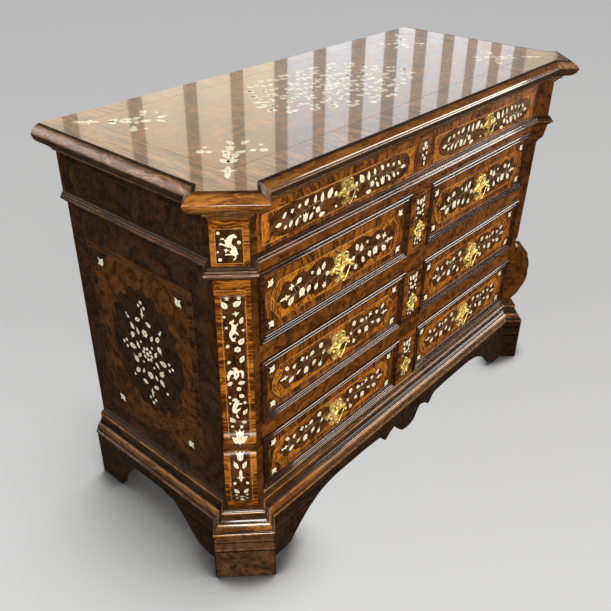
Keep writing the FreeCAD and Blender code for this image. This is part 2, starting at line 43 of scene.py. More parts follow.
# planes that carry veneer and inlay, in metres
body = {
    "backY": 0.3134, "frontY": -0.2206, "panelY": -0.2186, "plaqueY": -0.2236, "sideX": 0.644,
    "sidePanelX": 0.6375, "friezeZ": 0.887, "cornerSlide": -0.0726, "friezeReach": 0.830, "consoleReach": 0.9,
    "topZ": 1.0, "shortX": 0.298, "shortZ": 0.885,
    "tiers": {2: (0.623, 0.796), 3: (0.4135, 0.581), 4: (0.211, 0.3715)},
}
sides = (("left", -1), ("right", 1))
quarters = ((-1, -1), (-1, 1), (1, -1), (1, 1))
sunk = 0.1  # millimetres that a sheet of inlay goes below its plane


# modelling helpers
def pick(*pieces):
    bpy.ops.object.select_all(action="DESELECT")
    for piece in pieces:
        piece.select_set(True)
    bpy.context.view_layer.objects.active = pieces[-1]


def settle(piece, place=None):
    # places live in the mesh, the object sits at the origin
    if place is not None:
        piece.matrix_world = place
    pick(piece)
    bpy.ops.object.transform_apply(location=True, rotation=True, scale=True)
    return piece


def joinUp(name, pieces):
    pick(*pieces)
    bpy.ops.object.join()
    piece = bpy.context.object
    piece.name = piece.data.name = name
    return piece


def copyOf(source):
    copy = source.copy()
    copy.data = source.data.copy()
    scene.collection.objects.link(copy)
    return copy


def paint(piece, finish):
    piece.data.materials.clear()
    piece.data.materials.append(finishes[finish])


def rideOn(piece, finish, bodyName, slotName, *replaced):
    paint(piece, finish)
    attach(piece, bodyName)
    if replaced:
        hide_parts(*replaced)
    return piece


def editAll(piece, *steps):
    # mesh operators run on the whole of a piece
    pick(piece)
    bpy.ops.object.mode_set(mode="EDIT")
    bpy.ops.mesh.select_all(action="SELECT")
    for operator, settings in steps:
        operator(**settings)
    bpy.ops.object.mode_set(mode="OBJECT")
    return piece


def modify(piece, kind, **settings):
    change = piece.modifiers.new(kind, kind)
    for key, val in settings.items():
        setattr(change, key, val)
    pick(piece)
    bpy.ops.object.modifier_apply(modifier=change.name)


def smoothBy(piece, degrees):
    pick(piece)
    bpy.ops.object.shade_smooth_by_angle(angle=math.radians(degrees))
    return piece


def wall(origin, right=(1, 0, 0), up=(0, 0, 1)):
    r, u = Vector(right).normalized(), Vector(up).normalized()
    return Matrix.Translation(origin) @ Matrix((r, u, r.cross(u))).transposed().to_4x4()


def cantWall(reach, side):
    # middle of a corner face at that reach; side is -1 left, 1 right
    s = math.sqrt(0.5)
    x = (body["cornerSlide"] - reach) * s
    y = body["backY"] - (reach + body["cornerSlide"]) * s
    return wall((x * -side, y, 0), (s, side * s, 0))


def curveMesh(name, paths, kind="BEZIER", closed=False, swell=False, **settings):
    # mesh of a curve through points of (x, y), or (x, y, 1) for a sharp one, in millimetres
    curve = bpy.data.curves.new(name, "CURVE")
    for key, val in settings.items():
        setattr(curve, key, val)
    for path in paths:
        spline = curve.splines.new(kind)
        spline.use_cyclic_u = closed
        points = spline.points if kind == "POLY" else spline.bezier_points
        points.add(len(path) - 1)
        for i, (point, at) in enumerate(zip(points, path)):
            point.co = (at[0] * mm, at[1] * mm, 0, 1)[:len(point.co)]
            if kind == "BEZIER":
                point.handle_left_type = point.handle_right_type = "VECTOR" if len(at) > 2 else "AUTO"
            if swell:
                point.radius = 0.7 + 0.5 * math.sin(math.pi * (i + 0.6) / len(path))
    piece = bpy.data.objects.new(name, curve)
    scene.collection.objects.link(piece)
    pick(piece)
    bpy.ops.object.convert(target="MESH")
    return bpy.context.object


def outlineCurve(name, loops, thick=0, edge=0, steps=3):
    # plate cut to loops, with its rim rounded by edge
    piece = curveMesh(name, loops, closed=True, dimensions="2D", fill_mode="BOTH", resolution_u=steps,
                      extrude=max(thick * mm / 2 - edge * mm, 0), bevel_depth=edge * mm, bevel_resolution=1,
                      offset=-edge * mm)
    return editAll(piece, (bpy.ops.mesh.remove_doubles, {"threshold": 1e-7}),
                   (bpy.ops.mesh.normals_make_consistent, {"inside": False}))


def leafLayer(name, loops, plane, lift):
    # thin sheet whose face stands lift millimetres off the plane
    piece = outlineCurve(name, loops, lift + sunk)
    return settle(piece, plane @ Matrix.Translation((0, 0, (lift - sunk) / 2 * mm)))


def lineWork(name, paths, plane, width, lift, closed=True, smooth=False):
    # let-in lines and stems: flat-lying rods that stand a hair off the plane
    piece = curveMesh(name, paths, "BEZIER" if smooth else "POLY", closed, dimensions="3D", resolution_u=4,
                      bevel_depth=width * mm / 2, bevel_resolution=1, use_fill_caps=True)
    return settle(piece, plane @ Matrix.Diagonal((1, 1, lift / (width / 2), 1)))


def scrollWork(name, paths, width, height, base):
    # rods half sunk in a plate, thinning towards their curled ends
    piece = curveMesh(name, paths, swell=True, dimensions="3D", resolution_u=5, bevel_depth=width * mm / 2,
                      bevel_resolution=2, use_fill_caps=True)
    squashed = Matrix.Diagonal((1, 1, height / (width / 2), 1))
    return settle(piece, Matrix.Translation((0, 0, base * mm)) @ squashed)


def rect(x0, y0, x1, y1):
    return [(x0, y0, 1), (x1, y0, 1), (x1, y1, 1), (x0, y1, 1)]


def corners(points):
    return [(x, y, 1) for x, y in points]


def mirrored(points):
    return [(-x, *rest) for x, *rest in points]


def mirrorLoop(half):
    return half + mirrored(half[-2:0:-1])


def fourWays(quarter):
    # closed loop from its first quarter, which runs from the right tip to the top
    half = quarter + mirrored(quarter[-2::-1])
    return half + [(x, -y) for x, y in half[-2:0:-1]]


def ringPoints(count, wide, tall):
    turns = [2 * math.pi * i / count for i in range(count)]
    return [(wide * math.cos(t), tall * math.sin(t)) for t in turns]


def softCopy(node, edge, slotName, finish, cant=None, angle=24, segments=2):
    # merged copy of a CAD node with its arrises eased; cant is the finish of its corner face
    piece = copyOf(cadNodes[node])
    for key in list(piece.keys()):
        del piece[key]
    piece.parent = None
    piece.matrix_world = Matrix.Identity(4)
    piece.name = piece.data.name = node + "_eased"
    pick(piece)
    if piece.data.has_custom_normals:
        bpy.ops.mesh.customdata_custom_splitnormals_clear()
    editAll(piece, (bpy.ops.mesh.remove_doubles, {"threshold": 2e-6}),
            (bpy.ops.mesh.dissolve_limited, {"angle_limit": math.radians(1.5)}))
    modify(piece, "BEVEL", width=edge * mm, segments=segments, limit_method="ANGLE",
           angle_limit=math.radians(angle), use_clamp_overlap=True)
    smoothBy(piece, angle)
    modify(piece, "WEIGHTED_NORMAL", keep_sharp=True)  # keeps the broad faces flat
    rideOn(piece, finish, "carcass", slotName, node)
    if cant:
        piece.data.materials.append(finishes[cant])
        side = math.copysign(1, sum(v.co.x for v in piece.data.vertices))
        outward = Vector((1, 1)).normalized()
        for face in piece.data.polygons:
            level = Vector((side * face.normal.x, -face.normal.y))
            if level.length > 0.3 and level.normalized().dot(outward) > 0.95:
                face.material_index = 1
    return piece


# shader helpers
def feed(tree, socket, val):
    # a socket takes a link, a colour or a plain value
    if isinstance(val, bpy.types.NodeSocket):
        tree.links.new(val, socket)
    elif socket.type == "RGBA":
        socket.default_value = (*val, 1)
    else:
        socket.default_value = val


def addNode(tree, kind, sockets=None, **settings):
    node = tree.nodes.new("ShaderNode" + kind)
    for key, val in settings.items():
        setattr(node, key, val)
    for key, val in (sockets or {}).items():
        feed(tree, node.inputs[key], val)
    return node


def noise(tree, vector, scale, detail, rough, warp=0.0):
    return addNode(tree, "TexNoise", {"Vector": vector, "Scale": scale, "Detail": detail, "Roughness": rough,
                                      "Distortion": warp}).outputs["Fac"]


def ramp(tree, fac, low, high, toLow=0.0, toHigh=1.0):
    sockets = {"Value": fac, "From Min": low, "From Max": high, "To Min": toLow, "To Max": toHigh}
    return addNode(tree, "MapRange", sockets, interpolation_type="SMOOTHSTEP").outputs["Result"]


def sums(tree, operation, a, b):
    return addNode(tree, "Math", {0: a, 1: b}, operation=operation).outputs[0]


def times(tree, a, b):
    return sums(tree, "MULTIPLY", a, b)


def weigh(tree, *parts):
    # sum of (value, weight)
    total = times(tree, *parts[0])
    for part in parts[1:]:
        total = sums(tree, "ADD", total, times(tree, *part))
    return total


def blendColour(tree, fac, a, b, mode="MIX"):
    return addNode(tree, "Mix", {"Factor": fac, 6: a, 7: b}, data_type="RGBA", blend_type=mode).outputs[2]


def vectors(tree, operation, vector, key, val):
    return addNode(tree, "VectorMath", {0: vector, key: val}, operation=operation).outputs[0]


# shader groups
poreTint = (0.012, 0.005, 0.002)
figureIn = {"Vector": "Vector", "Dark": "Color", "Light": "Color", "Amount": "Float"}
figureOut = {"Color": "Color", "Rough": "Float", "Height": "Float"}


def newGroup(name, inputs, outputs):
    group = bpy.data.node_groups.new(name, "ShaderNodeTree")
    for way, sockets in (("INPUT", inputs), ("OUTPUT", outputs)):
        for label, kind in sockets.items():
            group.interface.new_socket(label, in_out=way, socket_type="NodeSocket" + kind)
    return group, group.nodes.new("NodeGroupInput").outputs, group.nodes.new("NodeGroupOutput").inputs


def walnutGroup():
    # straight to curly walnut, grain along the vector's X
    group, start, end = newGroup("walnutFigure", figureIn, figureOut)
    vector = start["Vector"]
    drift = addNode(group, "TexNoise", {"Vector": vector, "Scale": 9, "Detail": 3}).outputs["Color"]
    pull = vectors(group, "SCALE", drift, "Scale", times(group, start["Amount"], 0.10))
    bent = vectors(group, "ADD", vector, 1, pull)

    def drawn(at, scale, detail, rough):
        return noise(group, vectors(group, "MULTIPLY", at, 1, scale), 1.0, detail, rough)
    bands = drawn(bent, (7, 60, 60), 5, 0.6)
    streaks = drawn(bent, (12, 230, 230), 3, 0.6)
    pores = drawn(bent, (90, 1500, 1500), 2, 0.5)
    clouds = drawn(vector, (5, 9, 9), 3, 0.5)
    tone = weigh(group, (ramp(group, bands, 0.38, 0.62), 0.42), (ramp(group, streaks, 0.40, 0.60), 0.40),
                 (ramp(group, clouds, 0.4, 0.62), 0.18))
    colour = blendColour(group, ramp(group, tone, 0.2, 0.8), start["Dark"], start["Light"])
    specks = ramp(group, pores, 0.60, 0.72)
    feed(group, end["Color"], blendColour(group, times(group, specks, 0.45), colour, poreTint))
    rough = ramp(group, clouds, 0.3, 0.7, 0.2, 0.32)
    feed(group, end["Rough"], sums(group, "ADD", rough, times(group, specks, 0.15)))
    feed(group, end["Height"], sums(group, "SUBTRACT", streaks, specks))
    return group


def burrGroup():
    # burr walnut: eyes and swirls with no direction
    group, start, end = newGroup("burrFigure", figureIn, figureOut)
    vector = vectors(group, "SCALE", start["Vector"], "Scale", start["Amount"])
    swirl = noise(group, vector, 1.0, 6, 0.62, 2.2)
    fine = noise(group, vector, 5.0, 4, 0.6, 1.2)
    eyes = addNode(group, "TexVoronoi", {"Vector": vector, "Scale": 2.2}, feature="SMOOTH_F1")
    tone = weigh(group, (ramp(group, swirl, 0.36, 0.66), 0.65), (ramp(group, fine, 0.36, 0.66), 0.35))
    colour = blendColour(group, tone, start["Dark"], start["Light"])
    spots = ramp(group, eyes.outputs["Distance"], 0.05, 0.22, 0.8, 0.0)
    dots = times(group, spots, ramp(group, fine, 0.35, 0.6))
    feed(group, end["Color"], blendColour(group, dots, colour, poreTint))
    feed(group, end["Rough"], ramp(group, swirl, 0.3, 0.7, 0.2, 0.34))
    feed(group, end["Height"], fine)
    return group


def patinaGroup():
    # rubbed wax: worn lighter patches, and dark grime in clouds
    group, start, end = newGroup("handWear", {"Vector": "Vector", "Color": "Color", "Grime": "Float"},
                                 {"Color": "Color"})
    cloud = noise(group, start["Vector"], 4.5, 5, 0.6)
    scuff = noise(group, start["Vector"], 38.0, 4, 0.65)
    grime = times(group, ramp(group, cloud, 0.42, 0.7), start["Grime"])
    colour = blendColour(group, grime, start["Color"], (0.014, 0.007, 0.004))
    patch = times(group, ramp(group, scuff, 0.58, 0.78), 0.08)
    feed(group, end["Color"], blendColour(group, patch, colour, (0.30, 0.16, 0.06)))
    return group


walnutFigure, burrFigure, handWear = walnutGroup(), burrGroup(), patinaGroup()
grainTurns = {"x": (0, 0, 0), "y": (0, 0, math.pi / 2), "z": (0, math.pi / 2, 0), "d": (0, 0, math.pi / 4),
              "e": (0, 0, -math.pi / 4), "burr": (0, 0, 0)}


def newFinish(name):
    material = bpy.data.materials.new(name)
    material.use_nodes = True
    tree = material.node_tree
    return material, tree, addNode(tree, "TexCoord").outputs["Object"]


def shade(tree, height, strength, depth, sockets):
    # feeds the material's own shader, with the height as relief
    shader = tree.nodes["Principled BSDF"]
    relief = addNode(tree, "Bump", {"Strength": strength, "Distance": depth, "Height": height})
    for key, val in {**sockets, "Normal": relief.outputs["Normal"]}.items():
        feed(tree, shader.inputs[key], val)


def woodFinish(name, dark, light, figure, amount, grime, coat=0.2, coatRough=0.12, bump=0.12, specular=0.2,
               lines=None):
    # figure is the way of the grain, with its curl as the amount, or burr, with its scale
    material, tree, at = newFinish(name)
    turned = addNode(tree, "Mapping", {"Vector": at, "Rotation": grainTurns[figure]}).outputs["Vector"]
    sockets = {"Vector": turned, "Dark": dark, "Light": light, "Amount": amount}
    wood = addNode(tree, "Group", sockets, node_tree=burrFigure if figure == "burr" else walnutFigure).outputs
    colour = addNode(tree, "Group", {"Vector": at, "Color": wood["Color"], "Grime": grime},
                     node_tree=handWear).outputs["Color"]
    # painted light: the colour is multiplied by height bands, lighter as painted highlights on the arrises
    # and darker as painted shade in the quirks
    if lines:
        low, high = paintedBands[lines][0][0], paintedBands[lines][-1][0]
        level = addNode(tree, "SeparateXYZ", {0: at}).outputs["Z"]
        spot = addNode(tree, "MapRange", {"Value": level, "From Min": low * mm, "From Max": high * mm})
        bandRamp = addNode(tree, "ValToRGB", {"Fac": spot.outputs["Result"]})
        stops = bandRamp.color_ramp.elements
        for height, tone in paintedBands[lines]:
            end = {low: 0, high: -1}.get(height)
            stop = stops.new((height - low) / (high - low)) if end is None else stops[end]
            stop.color = (tone, tone, tone, 1)
        colour = blendColour(tree, 1.0, colour, bandRamp.outputs["Color"], "MULTIPLY")
    shade(tree, wood["Height"], bump, 0.0004, {
        "Base Color": colour, "Roughness": wood["Rough"], "Coat Weight": coat, "Coat Roughness": coatRough,
        "Specular IOR Level": specular})
    return material


def metalFinish(name, bright, deep, rough, metallic, scale):
    material, tree, at = newFinish(name)
    spread = noise(tree, at, scale, 5, 0.6)
    fine = noise(tree, at, scale * 6, 3, 0.6)
    dull = ramp(tree, spread, 0.3, 0.7, rough, rough + 0.2)
    shade(tree, fine, 0.25, 0.0004, {
        "Base Color": blendColour(tree, ramp(tree, spread, 0.50, 0.74), bright, deep), "Metallic": metallic,
        "Roughness": sums(tree, "ADD", dull, times(tree, fine, 0.08))})
    return material


def boneFinish(name, pale, stain, coat):
    material, tree, at = newFinish(name)
    cloud = noise(tree, at, 60, 4, 0.6)
    line = noise(tree, vectors(tree, "MULTIPLY", at, 1, (700, 700, 150)), 1.0, 3, 0.6)
    colour = blendColour(tree, ramp(tree, cloud, 0.4, 0.75, 0.0, 0.8), pale, stain)
    shade(tree, line, 0.1, 0.0003, {
        "Base Color": blendColour(tree, ramp(tree, line, 0.6, 0.8, 0.0, 0.4), colour, (0.28, 0.17, 0.08)),
        "Roughness": ramp(tree, cloud, 0.3, 0.7, 0.28, 0.45), "Coat Weight": coat, "Coat Roughness": 0.05})
    return material


# painted highlights (light) and painted shade in the quirks (dark) on the run mouldings and the feet, as
# (height in millimetres, tone)
paintedBands = {
    "top": [(936, 0.5), (939, 1.3), (940, 0.4), (942, 1.8), (947, 0.9), (949, 0.3), (951, 1.6), (953, 1.3),
        (956, 0.4), (972, 0.3), (981, 0.35), (984, 1.2), (987, 1.7), (996, 1.6), (998, 0.25), (1000, 0.2)],
    "cant": [(936, 0.4), (939, 0.9), (940, 0.25), (942, 1), (947, 0.5), (949, 0.25), (951, 1.3), (956, 0.6),
        (972, 0.9), (984, 1.6), (996, 1.4), (998, 0.4), (1000, 0.3)],
    "string": [(812, 0.5), (817, 1.2), (821, 0.4), (823, 2.6), (828, 2.6), (829, 0.4), (831, 2.2), (833, 2.2),
        (834, 0.4), (838, 0.8)],
    "base": [(142, 0.3), (144, 1), (148, 3.2), (150, 0.12), (153, 0.5), (158, 1.3), (164, 1.7), (168, 3.2),
        (169.5, 0.3), (173, 0.15), (184, 0.5), (188, 0.15), (191, 3), (195, 3), (196, 0.15), (198, 1.2),
        (201, 0.6)],
    "foot": [(0, 0.4), (6, 0.8), (60, 1), (88, 1), (90, 0.2), (93.5, 0.2), (95, 2), (98, 1.9), (100, 1.1),
        (118, 1), (120, 0.25), (123, 0.25), (124.5, 1.8), (128, 1.2), (142, 0.7)],
}
# dark, light, grain or burr, curl or scale, grime, then coat, its roughness, bump, specular and painted
# highlight and shade bands
woods = {
    "panelWalnut": ((0.095, 0.025, 0.003), (0.52, 0.182, 0.0155), "z", 1.6, 0.2),
    # crossUpright and crossLevel are darker crossbanding, partly their own tone and partly painted shade
    # beside the frames
    "crossUpright": ((0.048, 0.0135, 0.002), (0.28, 0.087, 0.008), "z", 0.9, 0.2),
    "crossLevel": ((0.032, 0.0085, 0.002), (0.28, 0.091, 0.008), "x", 0.3, 0.2),
    "crossLeft": ((0.06, 0.015, 0.002), (0.46, 0.155, 0.013), "d", 0.6, 0.2),
    "crossRight": ((0.06, 0.015, 0.002), (0.46, 0.155, 0.013), "e", 0.6, 0.2),
    "railWalnut": ((0.024, 0.007, 0.002), (0.24, 0.078, 0.009), "burr", 20, 0.2),
    "mouldWalnut": ((0.07, 0.023, 0.004), (0.155, 0.06, 0.01), "x", 0.7, 0.2, 0.9, 0.05, 0, 0.2, "top"),
    "baseMould": ((0.06, 0.02, 0.004), (0.165, 0.066, 0.013), "x", 0.7, 0.2, 0.9, 0.07, 0, 0.2, "base"),
    # painted light: litCantWalnut and litCantBase are lighter copies of the front moulding finishes for the
    # corner faces
    "litCantWalnut": ((0.12, 0.04, 0.007), (0.34, 0.13, 0.019), "d", 0.5, 0.2, 0.9, 0.05, 0, 0.2, "cant"),
    "litCantBase": ((0.07, 0.023, 0.005), (0.26, 0.096, 0.016), "d", 0.7, 0.2, 0.9, 0.07, 0, 0.2, "base"),
    # painted sheen: sheenSideMould is a lighter copy of mouldWalnut for the end runs of the top moulding
    "sheenSideMould": ((0.095, 0.046, 0.022), (0.27, 0.14, 0.066), "y", 0.7, 0.3, 0.35, 0.32, 0.02, 0.1, "top"),
    "baseSide": ((0.052, 0.022, 0.009), (0.15, 0.068, 0.025), "y", 0.7, 0.3, 0.5, 0.15, 0.02, 0.2, "base"),
    "frameDark": ((0.014, 0.0042, 0.0015), (0.07, 0.021, 0.005), "x", 0.4, 0.2, 1, 0.04, 0),
    "stringDark": ((0.018, 0.0055, 0.002), (0.085, 0.026, 0.007), "x", 0.4, 0.2, 0.8, 0.05, 0, 0.2, "string"),
    # painted light: litCantString is a lighter copy of stringDark for the corner faces
    "litCantString": ((0.08, 0.045, 0.03), (0.18, 0.11, 0.075), "d", 0.4, 0.2, 0.8, 0.05, 0, 0.2, "string"),
    "sideString": ((0.026, 0.012, 0.006), (0.08, 0.038, 0.018), "y", 0.4, 0.2, 0.25, 0.3, 0, 0.1, "string"),
    "flank": ((0.016, 0.005, 0.0015), (0.15, 0.05, 0.007), "burr", 16, 0.3, 0.25),
    "sideBurr": ((0.012, 0.006, 0.003), (0.078, 0.032, 0.012), "burr", 13, 0.4, 0.1),
    "sideLight": ((0.022, 0.008, 0.002), (0.165, 0.06, 0.013), "burr", 16, 0.3, 0.1),
    "sideBand": ((0.018, 0.007, 0.003), (0.1, 0.038, 0.01), "y", 0.3, 0.3, 0.1),
    "sideGround": ((0.01, 0.005, 0.0025), (0.055, 0.023, 0.009), "burr", 20, 0.3, 0.1),
    "sideLine": ((0.06, 0.022, 0.006), (0.2, 0.078, 0.022), "y", 0.2, 0.2, 0.1),
    "darkGround": ((0.01, 0.004, 0.0015), (0.12, 0.04, 0.007), "burr", 26, 0.2),
    "goldGround": ((0.01, 0.0035, 0.0012), (0.15, 0.052, 0.007), "burr", 18, 0.1),
    "midGround": ((0.014, 0.005, 0.002), (0.165, 0.056, 0.009), "burr", 24, 0.2),
    "topWalnut": ((0.085, 0.028, 0.005), (0.52, 0.205, 0.036), "burr", 9, 0.2, 1, 0.035, 0.02, 0.5),
    "topBand": ((0.09, 0.03, 0.006), (0.48, 0.19, 0.036), "y", 0.4, 0.2, 1, 0.035, 0.02, 0.5),
    "baseWalnut": ((0.03, 0.013, 0.006), (0.16, 0.072, 0.03), "burr", 18, 0.4, 0.5, 0.12, 0.06, 0.2, "foot"),
    # painted shade: shadedApronWalnut is a darker copy of baseWalnut for the aprons and the fronts of the
    # feet
    "shadedApronWalnut": ((0.005, 0.0025, 0.0012), (0.045, 0.019, 0.007), "burr", 18, 0.4, 0.4, 0.15, 0.06, 0.2,
                    "foot"),
    "topLine": ((0.04, 0.018, 0.008), (0.12, 0.055, 0.022), "x", 0.2, 0.1),
    "paleString": ((0.34, 0.14, 0.035), (0.66, 0.34, 0.11), "x", 0.2, 0.1),
    "darkLine": ((0.02, 0.008, 0.003), (0.07, 0.025, 0.008), "x", 0.2, 0.1),
    "stemTint": ((0.12, 0.07, 0.042), (0.3, 0.19, 0.125), "x", 0.3, 0.1),
    "plainWood": ((0.26, 0.16, 0.085), (0.42, 0.27, 0.14), "x", 0.4, 0.3, 0, 0.12, 0.3),
    "plainUpright": ((0.2, 0.12, 0.065), (0.33, 0.21, 0.11), "z", 0.4, 0.4, 0, 0.12, 0.3),
}
# pale, stain and coat of the bone; bright, deep, roughness, metallic and scale of the metals
bones = {
    "bone": ((0.93, 0.87, 0.67), (0.76, 0.62, 0.38), 0.3),
    # painted light: litTopBone is a lighter copy of bone for the top inlay
    "litTopBone": ((1.0, 0.96, 0.76), (0.92, 0.82, 0.56), 1.0),
}
metals = {
    "gilt": ((1.0, 0.80, 0.30), (0.36, 0.22, 0.05), 0.24, 0.75, 120),
    "dullGilt": ((0.66, 0.50, 0.17), (0.18, 0.11, 0.03), 0.28, 0.75, 120),
    "iron": ((0.20, 0.19, 0.18), (0.07, 0.06, 0.055), 0.45, 1.0, 60),
}
finishes = {}
for make, table in ((woodFinish, woods), (boneFinish, bones), (metalFinish, metals)):
    for name, row in table.items():
        finishes[name] = make(name, *row)
print("finishes made:", len(finishes))

# CAD pieces that keep their shape
drawers = ("1_left", "1_right", "2", "3", "4")
keptNodes = {
    "plainWood": ["carcass_bottom"] + ["drawer_%s_tray" % n for n in drawers],
    "plainUpright": ["back_panel"],
    "railWalnut": ["top_rail", "divider_1", "divider_2", "divider_3", "centre_stile"],
    "sideBurr": ["side_panel_left", "side_panel_right"],
    "crossUpright": ["drawer_%s_front" % n for n in drawers],
    "iron": ["lock_%s_%d" % (what, tier) for what in ("case", "bolt") for tier in (2, 3, 4)],
}
for finish, names in keptNodes.items():
    for name in names:
        paint(cadNodes[name], finish)

# run timber with eased arrises: edge, front, side and corner finish, least angle, segments; the corner
# finishes are lighter copies of the front ones, as painted light on the corner faces, and the side finish of
# the top moulding is a lighter copy as a painted sheen
runs = {"top_moulding": (0.9, "mouldWalnut", "sheenSideMould", "litCantWalnut", 34, 2),
        "base_moulding": (0.9, "baseMould", "baseSide", "litCantBase", 34, 1),
        "string_course": (0.5, "stringDark", "sideString", "litCantString", 24, 1)}
for run, (edge, front, flank, cant, angle, segments) in runs.items():
    softCopy(run + "_front", edge, "dark_moulding", front, None, angle, segments)
    for side, sign in sides:
        softCopy("%s_%s" % (run, side), edge, "dark_moulding", flank, cant, angle, segments)
easing = {"console": 1.2, "post": 0.8, "foot": 3.0, "board": 0.5}
for side, sign in sides:
    softCopy("console_" + side, easing["console"], "veneer", "flank", "cross" + side.capitalize())
    softCopy("corner_post_" + side, easing["post"], "veneer", "flank", "railWalnut")
    # the aprons and the feet's fronts take the darker copy as painted shade, and the feet's corner faces the
    # lighter baseWalnut as painted light
    softCopy("foot_front_" + side, easing["foot"], "dark_moulding", "shadedApronWalnut", "baseWalnut")
    softCopy("apron_side_" + side, easing["foot"], "dark_moulding", "shadedApronWalnut")
softCopy("apron_front", easing["foot"], "dark_moulding", "shadedApronWalnut")

# arrises worn flat by dusting: narrow strips lying on the run mouldings, as (height, lean in degrees, width)
worn = {"top_moulding_front": [(986.8, 30, 2.2)], "string_course_front": [(828.4, 33, 1.3), (833.5, 33, 1.0)],
        "base_moulding_front": [(195.4, 48, 1.2), (168.4, 48, 1.2)]}
for node, flats in worn.items():
    surface = bpy.data.objects[node + "_eased"]
    for count, (high, lean, wide) in enumerate(flats):
        near = [v.co for v in surface.data.vertices if abs(v.co.z - high * mm) < 7 * mm]
        ahead = min(p.y for p in near) + 2 * mm
        reach = max(abs(p.x) for p in near if p.y < ahead)
        bpy.ops.mesh.primitive_plane_add(size=1)
        strip = bpy.context.object
        strip.name = "%s_flat_%d" % (node, count)
        strip.scale = (2 * reach - 2 * mm, wide * mm, 1)
        strip.rotation_euler = (math.radians(90 - lean), 0, 0)
        spot = surface.ray_cast((0, -1, high * mm), (0, 1, 0))[1]
        off = Vector((0, -math.cos(math.radians(lean)), math.sin(math.radians(lean))))
        strip.location = spot + off * 0.15 * mm
        rideOn(settle(strip), "frameDark", "carcass", "dark_moulding")
print("timber eased")

# raised reeded frames round the drawer panels: a plate inset and raised step by step
reeds = {"outerX": 567, "innerX": 43.5, "gap": 1, "wide": 4.2, "lean": {2: 35, 3: 39, 4: 43}}


def bead(lean, outer, inner):
    # raised bead as (inset, rise) steps, with a bright shoulder on each side leaning back by that angle
    slope = math.tan(math.radians(lean))
    return [(0.3, 1.0), (outer, outer * slope), (reeds["wide"] - outer - inner, (inner - outer) * slope),
            (inner, -inner * slope), (0.3, -1.0)]


def reededFrame(name, x0, z0, x1, z1, lean):
    bpy.ops.mesh.primitive_plane_add(size=1, location=((x0 + x1) / 2 * mm, (z0 + z1) / 2 * mm, 0))
    piece = bpy.context.object
    piece.name = name
    piece.scale = ((x1 - x0) * mm, (z1 - z0) * mm, 1)
    groove = [(0.1, -0.7), (0.5, 0), (0.1, -0.6)]
    steps = [(0.02, 6.0), *bead(lean, 1.1, 0.7), *groove, *bead(lean, 0.1, 0.6), *groove,
             *bead(lean, 0.9, 0.75), (0.4, -3.4)]
    insets = [(bpy.ops.mesh.inset, {"thickness": inset * mm, "depth": rise * mm, "use_even_offset": True})
              for inset, rise in steps]
    editAll(settle(piece), *insets, (bpy.ops.mesh.delete, {"type": "FACE"}))
    return smoothBy(piece, 15)


for tier, (low, high) in body["tiers"].items():
    rings = []
    for side, sign in sides:
        x0, x1 = sorted((sign * reeds["outerX"], sign * reeds["innerX"]))
        z0, z1 = low / mm + reeds["gap"], high / mm - reeds["gap"]
        ring = reededFrame("reedFrame_%d" % tier, x0, z0, x1, z1, reeds["lean"][tier])
        rings.append(settle(ring, wall((0, body["panelY"], 0))))
    rideOn(joinUp("reedFrames_%d" % tier, rings), "frameDark", "drawer_%d" % tier, "dark_moulding",
           "drawer_%d_frames" % tier)
print("frames reeded")

